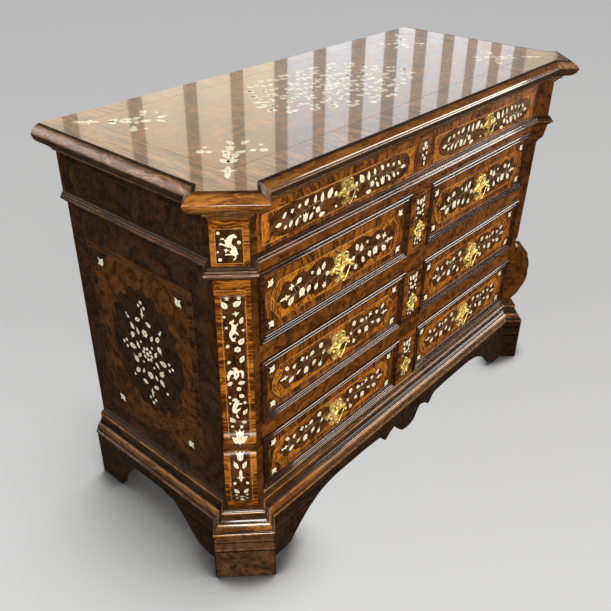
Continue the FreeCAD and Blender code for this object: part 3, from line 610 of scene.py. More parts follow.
# bone and pale wood motifs, drawn once with the stalk at the origin and the tip along x
motifShapes = {
    "slim": [[(0, 0, 1), (5, 4.2), (12, 4.6), (20, 0, 1), (12, -3.4), (5, -3.6)], [(5, 0.4, 1), (14, 0.8, 1),
        (14, 0, 1), (5, -0.5, 1)]],
    "wide": [[(0, 0, 1), (4, 5.4), (10, 6.6), (16, 4), (21, 0, 1), (14, -5.2), (7, -5.6), (2, -3)],
        [(5, 0.6, 1), (15, 0.9, 1), (15, -0.1, 1), (5, -0.5, 1)]],
    "tail": [[(0, 0, 1), (7, 1.2), (9, 5), (15, 6.8), (21.5, 4.5), (23.5, 0), (21, -4.8), (15, -6.2),
        (9.5, -4.2), (6, -1.6)], [(12, 1.6, 1), (14, 2.8, 1), (15.5, 1.4, 1)], [(16.5, -2.4, 1), (17, 0.4, 1),
        (19, -0.6, 1)]],
    "bell": [[(0, 10.5, 1), (4, 8), (10, 10), (18, 9.4), (23.5, 5), (24.5, 0), (23.5, -5), (18, -9.4),
        (10, -10), (4, -8), (0, -10.5, 1), (2, -4), (2, 4)], [(7, 0.7, 1), (18, 0.5, 1), (18, -0.5, 1),
        (7, -0.7, 1)]],
    "pear": [[(0, 0), (1.5, 6), (7, 7.6), (12, 6), (16, 2), (23, 0, 1), (16, -2), (12, -6), (7, -7.6),
        (1.5, -6)], [(6, 1, 1), (11, 0, 1), (6, -1, 1)]],
    "pin": [[(9, 1.5), (3, 3), (4, 8.5), (-1, 9), (-1.5, 3), (-8.5, 4.5), (-9, -1), (-3, -2), (-4, -8.5),
        (1, -9), (2, -3), (8.5, -4)]],
    "tulip": [[(0, -2.5), (0, 2.5), (5, 6), (11, 6.4), (19, 8.8, 1), (14.5, 3.4), (21, 0, 1), (14.5, -3.4),
        (19, -8.8, 1), (11, -6.4), (5, -6)], [(4, 1.6, 1), (13, 4, 1), (12.6, 4.8, 1), (4, 2.6, 1)],
        [(4, -2.6, 1), (12.6, -4.8, 1), (13, -4, 1), (4, -1.6, 1)]],
    "bud": [[(0, 0, 1), (3, 3.2), (7.5, 3.4), (10, 0), (7.5, -3.4), (3, -3.2)]],
    "dot": [[(2.9, 0), (0, 2.9), (-2.9, 0), (0, -2.9)]],
    "lily": [[(0, 0, 1), (7, 2.6), (11.5, 4), (13, 10, 1), (16, 4), (22, 2.8), (28, 3.4), (35, 0, 1),
        (28, -3.4), (22, -2.8), (16, -4), (13, -10, 1), (11.5, -4), (7, -2.6)], [(9, 0.6, 1), (20, 0.4, 1),
        (20, -0.4, 1), (9, -0.6, 1)]],
    "fan": [[(0, -1.6), (0, 1.6), (6, 7.5, 1), (8, 3.2), (13, 5, 1), (12, 0), (13, -5, 1), (8, -3.2),
        (6, -7.5, 1)]],
    "star": [[(9.5, 1, 1), (3, 2.6), (1.5, 8.5, 1), (-2.4, 3), (-8, 3.5, 1), (-3.2, -1.6), (-3.5, -8, 1),
        (2.6, -3)]],
    "fleur": [[(13.5, 0, 1), (5, 3.4), (3.5, 7), (1, 14, 1), (-3.5, 8), (-8, 5.5), (-9.5, 0), (-8, -5.5),
        (-3.5, -8), (1, -14, 1), (3.5, -7), (5, -3.4)], [(6, 0.5, 1), (6, -0.5, 1), (-3, -0.5, 1),
        (-3, 0.5, 1)]],
    "horse": [[(10, 31, 1), (13, 27), (16.5, 24), (14, 21.5), (10, 22), (6.5, 19), (4.5, 13), (4.5, 7),
        (7, 3), (11, 1), (15, -6), (16, -14), (18.5, -19, 1), (15, -18), (13.5, -22), (13, -27), (8, -33, 1),
        (6, -31), (9.5, -28), (10, -23), (6, -20.5), (0, -19.5), (-5, -20), (-11.5, -20, 1), (-10, -17),
        (-4, -17), (1, -15.5), (-1, -11), (3, -8), (3, -4), (0, -1), (-4, -1), (-9, 1), (-15, 4.5),
        (-23, 5, 1), (-22, 9), (-16, 9), (-10, 6.5), (-9.5, 11), (-13, 18), (-20.5, 17, 1), (-19, 20),
        (-14, 22), (-9, 17), (-6, 21), (-2, 26), (4, 29)]],
    "hare": [[(-2, 26, 1), (-1, 20), (-4, 16), (1, 12), (7, 16, 1), (7, 12), (3, 7), (3, 1), (1, -4), (4, -7),
        (8, -15, 1), (4, -14), (0, -10), (-3, -13), (-7, -18), (-4, -22), (1, -19, 1), (1, -23), (-2, -25),
        (1, -30, 1), (-7, -30), (-10, -24), (-13, -16), (-12, -8), (-8, 0), (-7, 8), (-8, 14), (-12, 16, 1),
        (-9, 21), (-6, 22)]],
    "eagle": [[(-4, 18), (1, 16), (5, 8), (8, 10), (13, 9), (16, 0), (13, -14, 1), (10, -8), (10, 0), (6, 4),
        (5, -5), (1, -12), (-3, -18, 1), (-5, -12), (-10, -14, 1), (-6, -5), (-9, 0), (-13, -3),
        (-18, -19, 1), (-21, -14), (-20, -1), (-14, 11), (-8, 8), (-5, 11), (-10, 16, 1)], [(-2, 2, 1),
        (1, 2, 1), (0, -7, 1)]],
    "leaper": [[(-8, 27, 1), (-2, 25), (0, 20), (4, 20, 1), (1, 14), (9, 12, 1), (8, 8), (1, 8), (-2, 2),
        (-5, -4), (-1, -5), (4, -1, 1), (5, -4), (1, -10), (-3, -14), (-4, -20), (1, -31, 1), (-3, -32),
        (-6, -25), (-6, -17), (-11, -17), (-14, -11), (-13, 2), (-10, 12), (-7, 18), (-13, 19, 1),
        (-13, 23)]],
    "rose": [[(x * r, y * r) for (x, y), r in zip(ringPoints(12, 8.4, 8.4), (0.8, 1) * 6)],
             ringPoints(4, 1.8, 1.8)],
}
boneLift = 0.45
boneMasters, sheetMasters = {}, {}
for name, loops in motifShapes.items():
    boneMasters[name] = outlineCurve("bone_" + name, loops, boneLift + sunk, steps=2)
    sheetMasters[name] = outlineCurve("sheet_" + name, loops, steps=2)


def stamp(name, plane, places, masters=boneMasters, lift=boneLift):
    copies = []
    for motif, x, y, angle, size in places:
        copy = copyOf(masters[motif])
        turn, grow = Matrix.Rotation(math.radians(angle), 4, "Z"), Matrix.Diagonal((size, size, 1, 1))
        spot = Matrix.Translation((x * mm, y * mm, (lift - sunk) / 2 * mm))
        copy.matrix_world = plane @ spot @ turn @ grow
        copies.append(copy)
    return settle(joinUp(name, copies))


def placed(groups, grow):
    # a table of (x, y, angle, size) by motif as one list
    return [(motif, x, y, a, s * grow) for motif, spots in groups.items() for x, y, a, s in spots]


def facing(places, way):
    # the same spots, on the other side if way is -1
    return [(m, x * way, y, a if way > 0 else 180 - a, s) for m, x, y, a, s in places]


def stemPaths(places, wave, reach):
    # a waving main stem each way, and a twig to every leaf
    def high(x):
        return wave * math.sin((abs(x) - 40) / (reach - 40) * math.pi * 1.7) - 4
    paths = [[(s * x, high(x)) for x in range(34, int(reach), 12)] for s in (-1, 1)]
    for motif, x, y, angle, size in places:
        if motif != "dot":
            root = x * 0.94 - math.copysign(7, x)
            bend = ((root + x) / 2 - math.copysign(2, x), (high(root) + y) / 2 + 1)
            paths.append([(root, high(root)), bend, (x, y)])
    return paths


def lay(tag, owner, plane, *layers):
    # one piece per layer, as name, finish, loops, height off the plane, and width if it is a let-in line
    for name, finish, loops, lift, *width in layers:
        if width:
            piece = lineWork(tag + name, loops, plane, *width, lift)
        else:
            piece = leafLayer(tag + name, loops, plane, lift)
        rideOn(piece, finish, owner, "veneer")


def layBone(name, owner, plane, places, finish="bone"):
    rideOn(stamp(name, plane, places), finish, owner, "veneer")


def layStems(name, owner, plane, leaves, wave, reach, width):
    stems = lineWork(name, stemPaths(leaves, wave, reach), plane, width, 0.42, False, True)
    rideOn(stems, "stemTint", owner, "veneer")


# drawer fronts: fields, let-in lines, dark grounds and bone sprays, as (x, y, angle, size) by motif
spray = {
    "short": {
        "slim": [(-200, -8, 184, 0.95), (-197, 0, 50, 0.8), (-102, 3, 75, 0.85), (-79, -3, 85, 1.1),
            (-178, -25, 60, 0.85), (-160, -28, 62, 0.9), (-118, -29, 50, 0.9), (-89, -31, 8, 1)],
        "star": [(-170, 8, 30, 0.75)], "bud": [(-153, 9, 30, 1), (-36, -5, 80, 1.2), (-194, -23, 40, 0.9)],
        "wide": [(-132, 7, 50, 0.75), (-60, -1, 55, 1.15)],
        "dot": [(-146, -12, 0, 0.9), (-104, -7, 0, 1), (-33, -27, 0, 1.1)], "tulip": [(-132, -28, 82, 1)],
        "rose": [(-92, -15, 0, 0.85)],
    },
    "upper": {
        "lily": [(-167, -6, 180, 1)], "pin": [(-163, 12, 12, 0.9)],
        "tail": [(-151, 12, 25, 1), (-113, -27, 68, 1)], "dot": [(-97, 20, 0, 1.5)],
        "pear": [(-75, 6, 92, 0.95)], "wide": [(-62, 12, 70, 1), (-173, -28, 40, 1.2), (-87, -28, 66, 0.95)],
        "rose": [(-46, -3, 0, 0.8)], "bell": [(-130, -25, 90, 0.95)], "fan": [(-58, -34, 70, 1.1)],
    },
    "lower": {
        "lily": [(-174, 0, 180, 0.95)], "wide": [(-184, 27, -40, 1), (-172, -20, 30, 1.15)],
        "pear": [(-158, 12, 40, 0.8), (-66, -32, 70, 0.9)], "pin": [(-127, 21, 20, 0.9)],
        "bud": [(-112, 12, 80, 1.1)], "tail": [(-104, 15, 20, 1), (-94, -18, 45, 1)],
        "rose": [(-62, 25, 0, 1.1)], "slim": [(-146, -12, 30, 1), (-56, -4, 50, 0.9)],
        "bell": [(-114, -25, 88, 0.9)],
    },
}
panel = {
    "ground": [(209, 0), (198, 10), (191, 26), (177, 33), (163, 26), (150, 33), (126, 35), (110, 29),
               (95, 36), (64, 42), (44, 37), (28, 30), (0, 32)],
    "line": [(-199, 45), (197, 45), (222, 13), (222, -13), (197, -47), (-199, -47), (-224, -13), (-224, 13)],
    "outer": (1.028, 1.13), "cornerAt": (225.5, 49), "cornerRound": 26, "cornerOut": 16, "centreX": 305.25,
    "drop": -2, "squeeze": {2: 1.0, 3: 0.97, 4: 0.93}, "shortBox": rect(-254, -37, 253, 27),
    "shortGround": [(-208, 23), (-100, 23, 1), (100, 23, 1), (208, 23), (232, 8), (232, -18), (208, -33),
                    (100, -33, 1), (-100, -33, 1), (-208, -33), (-232, -18), (-232, 8)],
}


def quarterRound(cx, cz, sx, sz, r):
    # dark corner field: a quarter disc with its square corner outwards
    x, z = cx + sx * panel["cornerOut"], cz + sz * panel["cornerOut"]
    turns = [math.radians(18 * i - 9) for i in range(1, 6)]
    rounded = [(x - sx * r * 1.3 * math.cos(t), z - sz * r * 1.3 * math.sin(t)) for t in turns]
    points = [(x, z, 1), (x - sx * r * 1.35, z, 1)] + rounded + [(x, z - sz * r * 1.35, 1)]
    return points if sx * sz < 0 else points[::-1]


for tier, (low, high) in body["tiers"].items():
    owner = "drawer_%d" % tier
    squeeze = panel["squeeze"][tier]
    line = [(x, z * squeeze) for x, z in panel["line"]]
    outer = [(x * panel["outer"][0], z * panel["outer"][1]) for x, z in line]
    ground = [(x, z * squeeze) for x, z in fourWays(panel["ground"])]
    dx, dz = panel["cornerAt"][0], panel["cornerAt"][1] * squeeze
    rounds = [quarterRound(sx * dx, sz * dz, sx, sz, panel["cornerRound"] * squeeze) for sx, sz in quarters]
    half = placed(spray["upper"], 0.92) if tier == 2 else placed(spray["lower"], 0.80)
    leaves = facing(half, 1) + facing(half, -1)
    fleurs = [("fleur", sx * dx, sz * dz, math.degrees(math.atan2(sz, sx)), 0.85) for sx, sz in quarters]
    for side, sign in sides:
        tag = "%s_%s_" % (owner, side)
        plane = wall((sign * panel["centreX"] * mm, body["panelY"], (low + high) / 2 + panel["drop"] * mm))
        lay(tag, owner, plane, ("field", "panelWalnut", [corners(line)], 0.12),
            ("line", "paleString", [line], 0.24, 2.0), ("outerLine", "darkLine", [outer], 0.16, 0.8),
            ("ground", "darkGround" if tier == 2 else "midGround", [ground], 0.24),
            ("cornerGround", "darkGround", rounds, 0.26))
        layStems(tag + "stems", owner, plane, leaves, 9, 190, 3.2)
        layBone(tag + "bone", owner, plane, leaves + fleurs)
half = placed(spray["short"], 1.02)
for side, sign in sides:
    owner = "drawer_1_" + side
    plane = wall((sign * body["shortX"], body["frontY"], body["shortZ"]))
    lay(owner, owner, plane, ("_field", "panelWalnut", [panel["shortBox"]], 0.12),
        ("_line", "paleString", [panel["shortBox"]], 0.24, 2.0),
        ("_ground", "goldGround", [panel["shortGround"]], 0.24))
    leaves = facing(half, 1) + facing(half, -1)
    layStems(owner + "_stems", owner, plane, leaves, 6, 200, 2.8)
    layBone(owner + "_bone", owner, plane, leaves)
print("drawer inlay laid")

# plaques between the panels, and the stile above them
plaque = {"wide": 39, "dark": 22, "margin": 13, "drawn": 84.5}
plaqueFlowers = {
    "tulip": [(0, 44, 90, 0.8)],
    "slim": [(-10, 46, 110, 0.9), (10, 46, 70, 0.9), (-12, -52, 70, 0.7), (12, -52, 110, 0.7)],
    "wide": [(-6, 34, 150, 0.65), (6, 34, 30, 0.65)],
    "bud": [(-9, 20, 100, 0.9), (9, 20, 80, 0.9), (-12, -62, 90, 0.8), (12, -62, 90, 0.8)],
    "rose": [(0, 22, 0, 0.6)], "dot": [(-15, 12, 0, 0.9), (15, 12, 0, 0.9), (0, -62, 0, 1)],
}
stileFlowers = {
    "tulip": [(0, 14, 90, 0.75)], "wide": [(-3, 8, 135, 0.55), (3, 8, 45, 0.55)],
    "bud": [(-6, -8, 110, 0.8), (6, -6, 70, 0.8)], "rose": [(0, -14, 0, 0.6)], "slim": [(0, -32, 90, 0.6)],
}
for tier, (low, high) in body["tiers"].items():
    owner = "drawer_%d" % tier
    plane = wall((0, body["plaqueY"], (low + high) / 2))
    tall = (high - low) * 500 - 2
    band = rect(-plaque["wide"], -tall, plaque["wide"], tall)
    inner = rect(-plaque["dark"], -tall + plaque["margin"], plaque["dark"], tall - plaque["margin"])
    lay(owner, owner, plane, ("_plaqueBand", "crossLevel", [band], 0.1),
        ("_plaqueGround", "darkGround", [inner], 0.22), ("_plaqueLine", "paleString", [inner], 0.3, 1.7))
    flowers = [(m, x, z * tall / plaque["drawn"], a, s) for m, x, z, a, s in placed(plaqueFlowers, 1)]
    layBone(owner + "_plaqueBone", owner, plane, flowers)
plane = wall((0, body["frontY"], body["shortZ"]))
inner = rect(-13, -35, 13, 37)
lay("stile", "carcass", plane, ("Band", "crossLevel", [rect(-27, -45, 27, 45)], 0.1),
    ("Ground", "darkGround", [inner], 0.22), ("Line", "paleString", [inner], 0.3, 1.7))
layBone("stileBone", "carcass", plane, placed(stileFlowers, 1))
print("plaques laid")

# corner pilasters: frieze block on the flat, shaft and scroll laid to the curve
pilaster = {
    "frieze": {
        "horse": [(0, 880, 0, 1)], "rose": [(-20, 908, 0, 0.5), (17, 889, 0, 0.55), (-19, 854, 0, 0.55)],
        "star": [(-7, 873, 0, 0.75)], "dot": [(-22, 870, 0, 0.9)],
    },
    "shaft": {
        "fan": [(-12, 764, 270, 0.8), (11, 765, 270, 0.8)],
        "wide": [(-13, 735, 118, 0.95), (0, 740, 40, 1), (8, 649, 58, 0.95), (-19, 544, 52, 0.75),
            (2, 549, 18, 0.8), (-9, 441, 120, 0.95)],
        "star": [(4, 723, 20, 0.9), (-16, 690, 60, 0.6), (-17, 496, 0, 0.5)],
        "dot": [(-19, 716, 0, 1.1), (17, 684, 0, 1.1), (-17, 513, 0, 1.1), (-15, 428, 0, 1.2)],
        "slim": [(12, 699, 72, 0.95), (9, 603, 68, 1.1), (10, 464, 62, 1), (-4, 398, 150, 0.8),
            (4, 398, 30, 0.8)],
        "hare": [(1, 686, 0, 1)],
        "bud": [(-18, 641, 60, 1), (-17, 601, 60, 0.95), (12, 494, 60, 0.9), (3, 422, 70, 1)],
        "rose": [(4, 637, 0, 0.95), (3, 535, 0, 0.7), (8, 516, 0, 0.75), (11, 442, 0, 0.8)],
        "eagle": [(0, 575, 0, 1)], "leaper": [(0, 485, 0, 1)], "tulip": [(0, 397, 90, 1.25)],
    },
    "scroll": {
        "tulip": [(0, 374, 90, 1.1)],
        "slim": [(-5, 356, 118, 1), (5, 356, 62, 1), (-6, 282, 118, 1.05), (6, 282, 62, 1.05)],
        "lily": [(0, 318, 90, 1.1)], "bud": [(-16, 312, 60, 0.9), (16, 312, 120, 0.9)],
        "dot": [(-12, 275, 0, 1.1), (12, 275, 0, 1.1), (-11, 255, 0, 1), (11, 255, 0, 1)],
        "star": [(0, 264, 0, 0.8)], "fan": [(0, 240, 90, 0.9)],
    },
}
shaftBox, scrollBox, friezeBox = rect(-21, 404, 21, 762), rect(-21, 228, 21, 392), rect(-26, 846, 24, 916)
shaftLines = [rect(-24.6, 226, -23.4, 393), rect(23.4, 226, 24.6, 393), rect(-23.4, 226, 23.4, 227.2),
              rect(-24.6, 404, -23.4, 764), rect(23.4, 404, 24.6, 764), rect(-27, 766, 25, 767.2),
              rect(-27, 787, 25, 788.2), rect(-27, 767.2, -25.8, 787), rect(23.8, 767.2, 25, 787)]


def drape(piece, target, plane, thick, finish):
    # cut across every few millimetres where the scroll curves, dropped on it, then given its thickness
    cuts = []
    for level in range(224, 812, 4):
        if level < 460 or level > 740:
            cuts += [(bpy.ops.mesh.select_all, {"action": "SELECT"}),
                     (bpy.ops.mesh.bisect, {"plane_co": (0, level * mm, 0), "plane_no": (0, 1, 0)})]
    editAll(piece, *cuts)
    piece.matrix_world = plane
    modify(piece, "SHRINKWRAP", target=target, wrap_method="PROJECT", use_project_z=True,
           use_positive_direction=False, use_negative_direction=True)
    modify(piece, "SOLIDIFY", thickness=thick * mm, offset=1)
    rideOn(settle(piece), finish, "carcass", "veneer")


for side, sign in sides:
    tag = "pilaster_%s_" % side
    plane = cantWall(body["friezeReach"], sign)
    lay(tag, "carcass", plane, ("friezeBand", "cross" + side.capitalize(), [rect(-36, 840, 36, 934)], 0.1),
        ("friezeGround", "darkGround", [friezeBox], 0.22),
        ("friezeLine", "paleString", [friezeBox], 0.32, 2.0))
    layBone(tag + "friezeBone", "carcass", plane, placed(pilaster["frieze"], 0.84))
    target = bpy.data.objects["console_%s_eased" % side]
    ahead = cantWall(body["consoleReach"], sign)
    for name, loops, thick, finish in (("shaftGround", [shaftBox], 0.15, "darkGround"),
                                       ("scrollGround", [scrollBox], 0.15, "darkGround"),
                                       ("lines", shaftLines, 0.25, "paleString")):
        drape(outlineCurve(tag + name, loops), target, ahead, thick, finish)
    figures = placed(pilaster["shaft"], 0.94) + placed(pilaster["scroll"], 0.94)
    drape(stamp(tag + "bone", Matrix.Identity(4), figures, sheetMasters, sunk), target, ahead, 0.4, "bone")
print("pilasters laid")

# end panels; distances run from the back edge towards the front
ends = {
    "band": [rect(57, 258, 412, 733), rect(73, 274, 396, 717)],
    "field": [(133, 274), (336, 274), (396, 334), (396, 657), (336, 717), (133, 717), (73, 657), (73, 334)],
    "ground": [(125, 0), (121, 44), (106, 64), (112, 88), (92, 104), (80, 134), (56, 138), (42, 164),
               (18, 160), (0, 172)],
    "centre": (237, 500), "pearls": (237, 497, 15), "boneSize": 0.84,
    "pads": ((40, 222), (240, 440)), "friezeBand": (12, 452), "friezeLine": (26, 446),
}
endBone = {
    "rose": [(237, 497, 0, 0.9), (235, 554, 30, 1.5), (238, 437, 0, 1.5)],
    "lily": [(234, 594, 90, 0.95), (238, 399, 270, 0.95)],
    "dot": [(233, 636, 0, 1.9), (224, 625, 0, 1.7), (243, 625, 0, 1.7), (227, 366, 0, 1.7),
        (247, 366, 0, 1.7), (237, 354, 0, 1.9), (149, 495, 0, 1.8), (160, 504, 0, 1.7), (160, 486, 0, 1.7),
        (325, 496, 0, 1.8), (314, 505, 0, 1.7), (314, 487, 0, 1.7), (178, 577, 0, 1.7), (172, 583, 0, 1.2),
        (291, 577, 0, 1.6), (295, 584, 0, 1.2), (216, 523, 0, 1.4), (256, 523, 0, 1.4), (218, 467, 0, 1.4),
        (256, 467, 0, 1.4), (176, 411, 0, 1.6), (296, 411, 0, 1.7)],
    "wide": [(170, 496, 0, 1.4), (304, 496, 180, 1.4), (205, 580, 20, 1.1), (261, 582, 160, 1.1),
        (196, 549, 128, 1.1), (276, 549, 58, 1.15), (197, 438, 230, 1.2), (274, 442, 310, 1.2),
        (206, 410, 345, 1.1), (264, 412, 200, 1.1)],
    "slim": [(213, 541, 110, 1.15), (256, 541, 68, 1.15), (208, 500, 115, 1.2), (264, 500, 65, 1.2),
        (211, 488, 232, 1.15), (264, 488, 305, 1.15), (217, 446, 242, 1), (257, 446, 298, 1)],
    "tail": [(181, 517, 65, 1.2), (291, 517, 118, 1.2), (180, 475, 310, 1.3), (292, 475, 235, 1.3)],
    "fleur": [(99, 690, 135, 1.2), (367, 691, 45, 1.2), (104, 299, 225, 1.2), (367, 299, 315, 1.2)],
}
px, pz, pearlRing = ends["pearls"]
pearls = [("dot", px + x, pz + z, 0, 1.9 * ends["boneSize"]) for x, z in ringPoints(8, pearlRing, pearlRing)]
for side, sign in sides:
    tag = "end_%s_" % side
    way = -sign
    plane = wall((sign * body["sidePanelX"], body["backY"], 0), (0, sign, 0))
    band = [[(way * x, z, sharp) for x, z, sharp in loop] for loop in ends["band"]]
    field = [(way * x, z) for x, z in ends["field"]]
    ground = [(way * ends["centre"][0] + x, ends["centre"][1] + z) for x, z in fourWays(ends["ground"])]
    lay(tag, "carcass", plane, ("band", "sideBand", band, 0.12),
        ("field", "sideLight", [corners(field)], 0.12),
        ("lines", "sideLine", band + [field], 0.2, 1.2), ("ground", "sideGround", [ground], 0.22))
    layBone(tag + "bone", "carcass", plane, facing(placed(endBone, ends["boneSize"]) + pearls, way))
    # frieze of the end
    plane = wall((sign * body["sideX"], body["backY"], body["friezeZ"]), (0, sign, 0))
    pads = []
    for back, front in ends["pads"]:
        u0, u1 = sorted((way * back, way * front))
        pads.append([(u0 + 14, 26), ((u0 + u1) / 2, 27, 1), (u1 - 14, 26), (u1, 6), (u1, -14), (u1 - 14, -34),
                     ((u0 + u1) / 2, -35, 1), (u0 + 14, -34), (u0, -14), (u0, 6)])
    b0, b1 = sorted(way * v for v in ends["friezeBand"])
    l0, l1 = sorted(way * v for v in ends["friezeLine"])
    lay(tag, "carcass", plane, ("friezeBand", "sideGround", [rect(b0, -45, b1, 46)], 0.1),
        ("friezeGround", "sideBurr", pads, 0.22),
        ("friezeLine", "sideLine", [rect(l0, -39, l1, 31)], 0.22, 1.1))
print("end panels laid")

# top board: a copy let down a hair so that its inlay stays under the rim
letDown = 0.6 * mm
topBoard = softCopy("top_panel", easing["board"], "veneer", "topWalnut")
for vertex in topBoard.data.vertices:
    if vertex.co.z > body["topZ"] - 10 * mm:
        vertex.co.z -= letDown
topPlane = wall((0, body["backY"], body["topZ"] - letDown), (1, 0, 0), (0, 1, 0))
# rings of the oval as count, half width, half depth, motif and size; sprays as place and stretch
topRings = [(52, 236, 146, "wide", 1.05), (44, 205, 122, "slim", 1.15), (38, 172, 98, "tulip", 0.8),
            (31, 138, 76, "wide", 1.0), (25, 104, 56, "slim", 1.15), (18, 70, 40, "bud", 1.4),
            (9, 36, 24, "wide", 0.9)]
topSprays = [(-574, -472, 1.25, 1.25), (-580, -90, 1.25, -1.25), (560, -472, -1.25, 1.25),
             (524, -82, -1.25, -1.25)]
cornerSpray = {
    "lily": [(0, 0, 225, 1.5)],
    "wide": [(12, 8, 100, 1.1), (8, 12, 350, 1.1), (40, 36, 100, 1), (44, 30, -10, 1)],
    "slim": [(22, 20, 60, 1.6), (24, 18, 20, 1.5), (70, 60, 80, 1.2), (78, 52, 10, 1.2)],
    "tulip": [(48, 46, 45, 1.1)], "bud": [(22, 58, 110, 1.3), (66, 22, -15, 1.3)],
    "rose": [(12, 74, 0, 1), (84, 8, 0, 1)], "dot": [(30, 84, 0, 1.4), (98, 28, 0, 1.4)],
}
cx, cy = -25, -268
leaves = [("rose", cx, cy, 0, 2.4)] + [("rose", cx + x, cy + y, 0, 0.8) for x, y in ringPoints(6, 24, 18)]
for count, a, b, motif, size in topRings:
    for i in range(count):
        t = 2 * math.pi * i / count + a * 0.037
        swell = 1 + 0.07 * math.sin(5 * t + a)
        x, y = a * swell * math.cos(t), b * swell * math.sin(t)
        lean = math.degrees(math.atan2(y, x)) + (55 if i % 2 else -40) + 25 * math.sin(7 * t)
        other = (i * 3 + count) % 7 % 3 if (i + count) % 5 == 0 else 0
        leaves.append(((motif, "dot", "star")[other], x + cx, y + cy, lean, size))
for sprayX, sprayY, sx, sy in topSprays:
    for m, x, y, a, s in placed(cornerSpray, 1.15):
        turned = math.degrees(math.atan2(math.sin(math.radians(a)) * sy, math.cos(math.radians(a)) * sx))
        leaves.append((m, sprayX + x * sx, sprayY + y * sy, turned, s))
layBone("top_bone", "carcass", topPlane, leaves, "litTopBone")
half = [(669, -2), (669, -494), (690, -515.1), (617.7, -587.4), (589.3, -559)]
rim = half + mirrored(half[::-1])
inner = [(-596, -58), (-596, -470), (-580, -488), (580, -488), (596, -470), (596, -58)]
lay("top_", "carcass", topPlane, ("band", "topBand", [corners(rim), corners(inner)], 0.12),
    ("field", "topWalnut", [corners(inner)], 0.12), ("line", "topLine", [inner], 0.24, 1.8))
joints = [[(-330, -58), (-330, -488)], [(305, -58), (305, -488)], [(-596, -270), (-290, -270)],
          [(240, -270), (596, -270)]]
rideOn(lineWork("top_joints", joints, topPlane, 0.7, 0.14, False), "topLine", "carcass", "veneer")
print("top laid")

for master in (*boneMasters.values(), *sheetMasters.values()):
    bpy.data.objects.remove(master)

# gilt pulls: pierced plate, scrolls in relief, turned posts, and a bail that swings
pull = {
    "half": [(0, 38, 1), (5, 33), (8, 24), (8, 12), (9, 6), (14, 3), (30, 2), (36, -4), (30, -9), (13, -8),
             (8, -12), (6, -20), (5, -32), (0, -38, 1)],
    "eye": [(0, 26), (3.2, 22), (3.6, 8), (2.4, -1), (0, -3), (-2.4, -1), (-3.6, 8), (-3.2, 22)],
    "scrolls": [[(5, 16), (4, 27), (11, 35), (21, 31), (25, 21), (19, 13), (12, 16), (12, 23), (17, 24)],
                [(5, 2), (12, 8), (21, 9), (30, 6)],
                [(10, -7), (20, -2), (31, 3), (40, 1), (43, -5), (38, -10), (34, -6)],
                [(-11, -6), (-6, -12), (0, -19), (7, -27), (11, -35), (18, -39), (22, -34), (18, -30)],
                [(9, -33), (3, -38), (2, -42)]],
    "leaf": [(0, 27, 1), (4, 32), (3, 37), (0, 43, 1), (-3, 37), (-4, 32)],
    "wing": [(13, 8), (21, 12), (30, 9), (38, 3), (45, -7, 1), (39, -8), (33, -3), (25, -4), (17, -7),
             (12, -2)],
    "bail": [(0, -38), (5, -36), (11, -29), (18, -18), (23, -8), (27, -4.2), (33, -4)],
    "thick": 2.2, "axisOut": 10, "axisHigh": -4, "postAt": 32, "shortSize": 0.72, "longSize": 0.88, "drop": 4,
}
lockPlate = {
    "half": [(0, 29, 1), (4, 23), (9, 18), (11, 11), (19, 9), (23, 1), (18, -6), (11, -10), (9, -17),
             (4, -22), (0, -29, 1)],
    "keyhole": [(1.6, -9, 1), (1.6, -1, 1), (3.2, 2), (0, 5), (-3.2, 2), (-1.6, -1, 1), (-1.6, -9, 1)],
    "eye": [(8, 6), (13, 4), (13, -2), (8, -3)],
    "scrolls": [[(1, 24), (8, 19), (11, 12), (7, 8)], [(11, 10), (19, 8), (22, 1), (17, -3), (14, 1)],
                [(1, -23), (8, -18), (10, -11), (6, -9)]],
    "thick": 2.0, "drop": 26,
}


def flipped(paths):
    return paths + [mirrored(path) for path in paths]


def raised(piece, high):
    return settle(piece, Matrix.Translation((0, 0, high * mm)))


def ball(radius, rings, scale, at):
    bpy.ops.mesh.primitive_uv_sphere_add(segments=16, ring_count=rings, radius=radius * mm, scale=scale,
                                         location=[v * mm for v in at])
    return settle(bpy.context.object)


def pullMaster():
    plate = outlineCurve("pullPlate", [mirrorLoop(pull["half"]), pull["eye"]], pull["thick"], 0.5, 4)
    tip = outlineCurve("pullTip", [pull["leaf"], pull["wing"], mirrored(pull["wing"])], 4.4, 1.2, 4)
    pieces = [raised(plate, pull["thick"] / 2), raised(tip, 2.4)]
    pieces.append(scrollWork("pullScrolls", flipped(pull["scrolls"]), 5.6, 3.2, pull["thick"]))
    for side, sign in sides:
        x, y = sign * pull["postAt"], pull["axisHigh"]
        bpy.ops.mesh.primitive_cylinder_add(vertices=16, radius=3.4 * mm, depth=12 * mm,
                                            location=(x * mm, y * mm, 6 * mm))
        post = editAll(bpy.context.object, (bpy.ops.mesh.bevel, {"offset": 1.2 * mm, "segments": 2}))
        pieces += [settle(post), ball(4.4, 8, (1, 1, 0.8), (x, y, 11.6))]
    return smoothBy(joinUp("pullMaster", pieces), 40)


def bailMaster():
    path = mirrored(pull["bail"][:0:-1]) + pull["bail"]
    wire = scrollWork("bailWire", [path], 2.8, 1.4, pull["axisOut"])
    knop = ball(3.2, 10, (1.2, 0.9, 0.9), (0, -38, pull["axisOut"]))
    return smoothBy(joinUp("bailMaster", [wire, knop]), 50)


def lockPlateMaster():
    eye = lockPlate["eye"]
    loops = [mirrorLoop(lockPlate["half"]), lockPlate["keyhole"], eye, mirrored(eye)]
    plate = raised(outlineCurve("lockPlate", loops, lockPlate["thick"], 0.5, 4), lockPlate["thick"] / 2)
    relief = scrollWork("lockScrolls", flipped(lockPlate["scrolls"]), 3.6, 1.9, lockPlate["thick"])
    return smoothBy(joinUp("lockPlateMaster", [plate, relief]), 40)


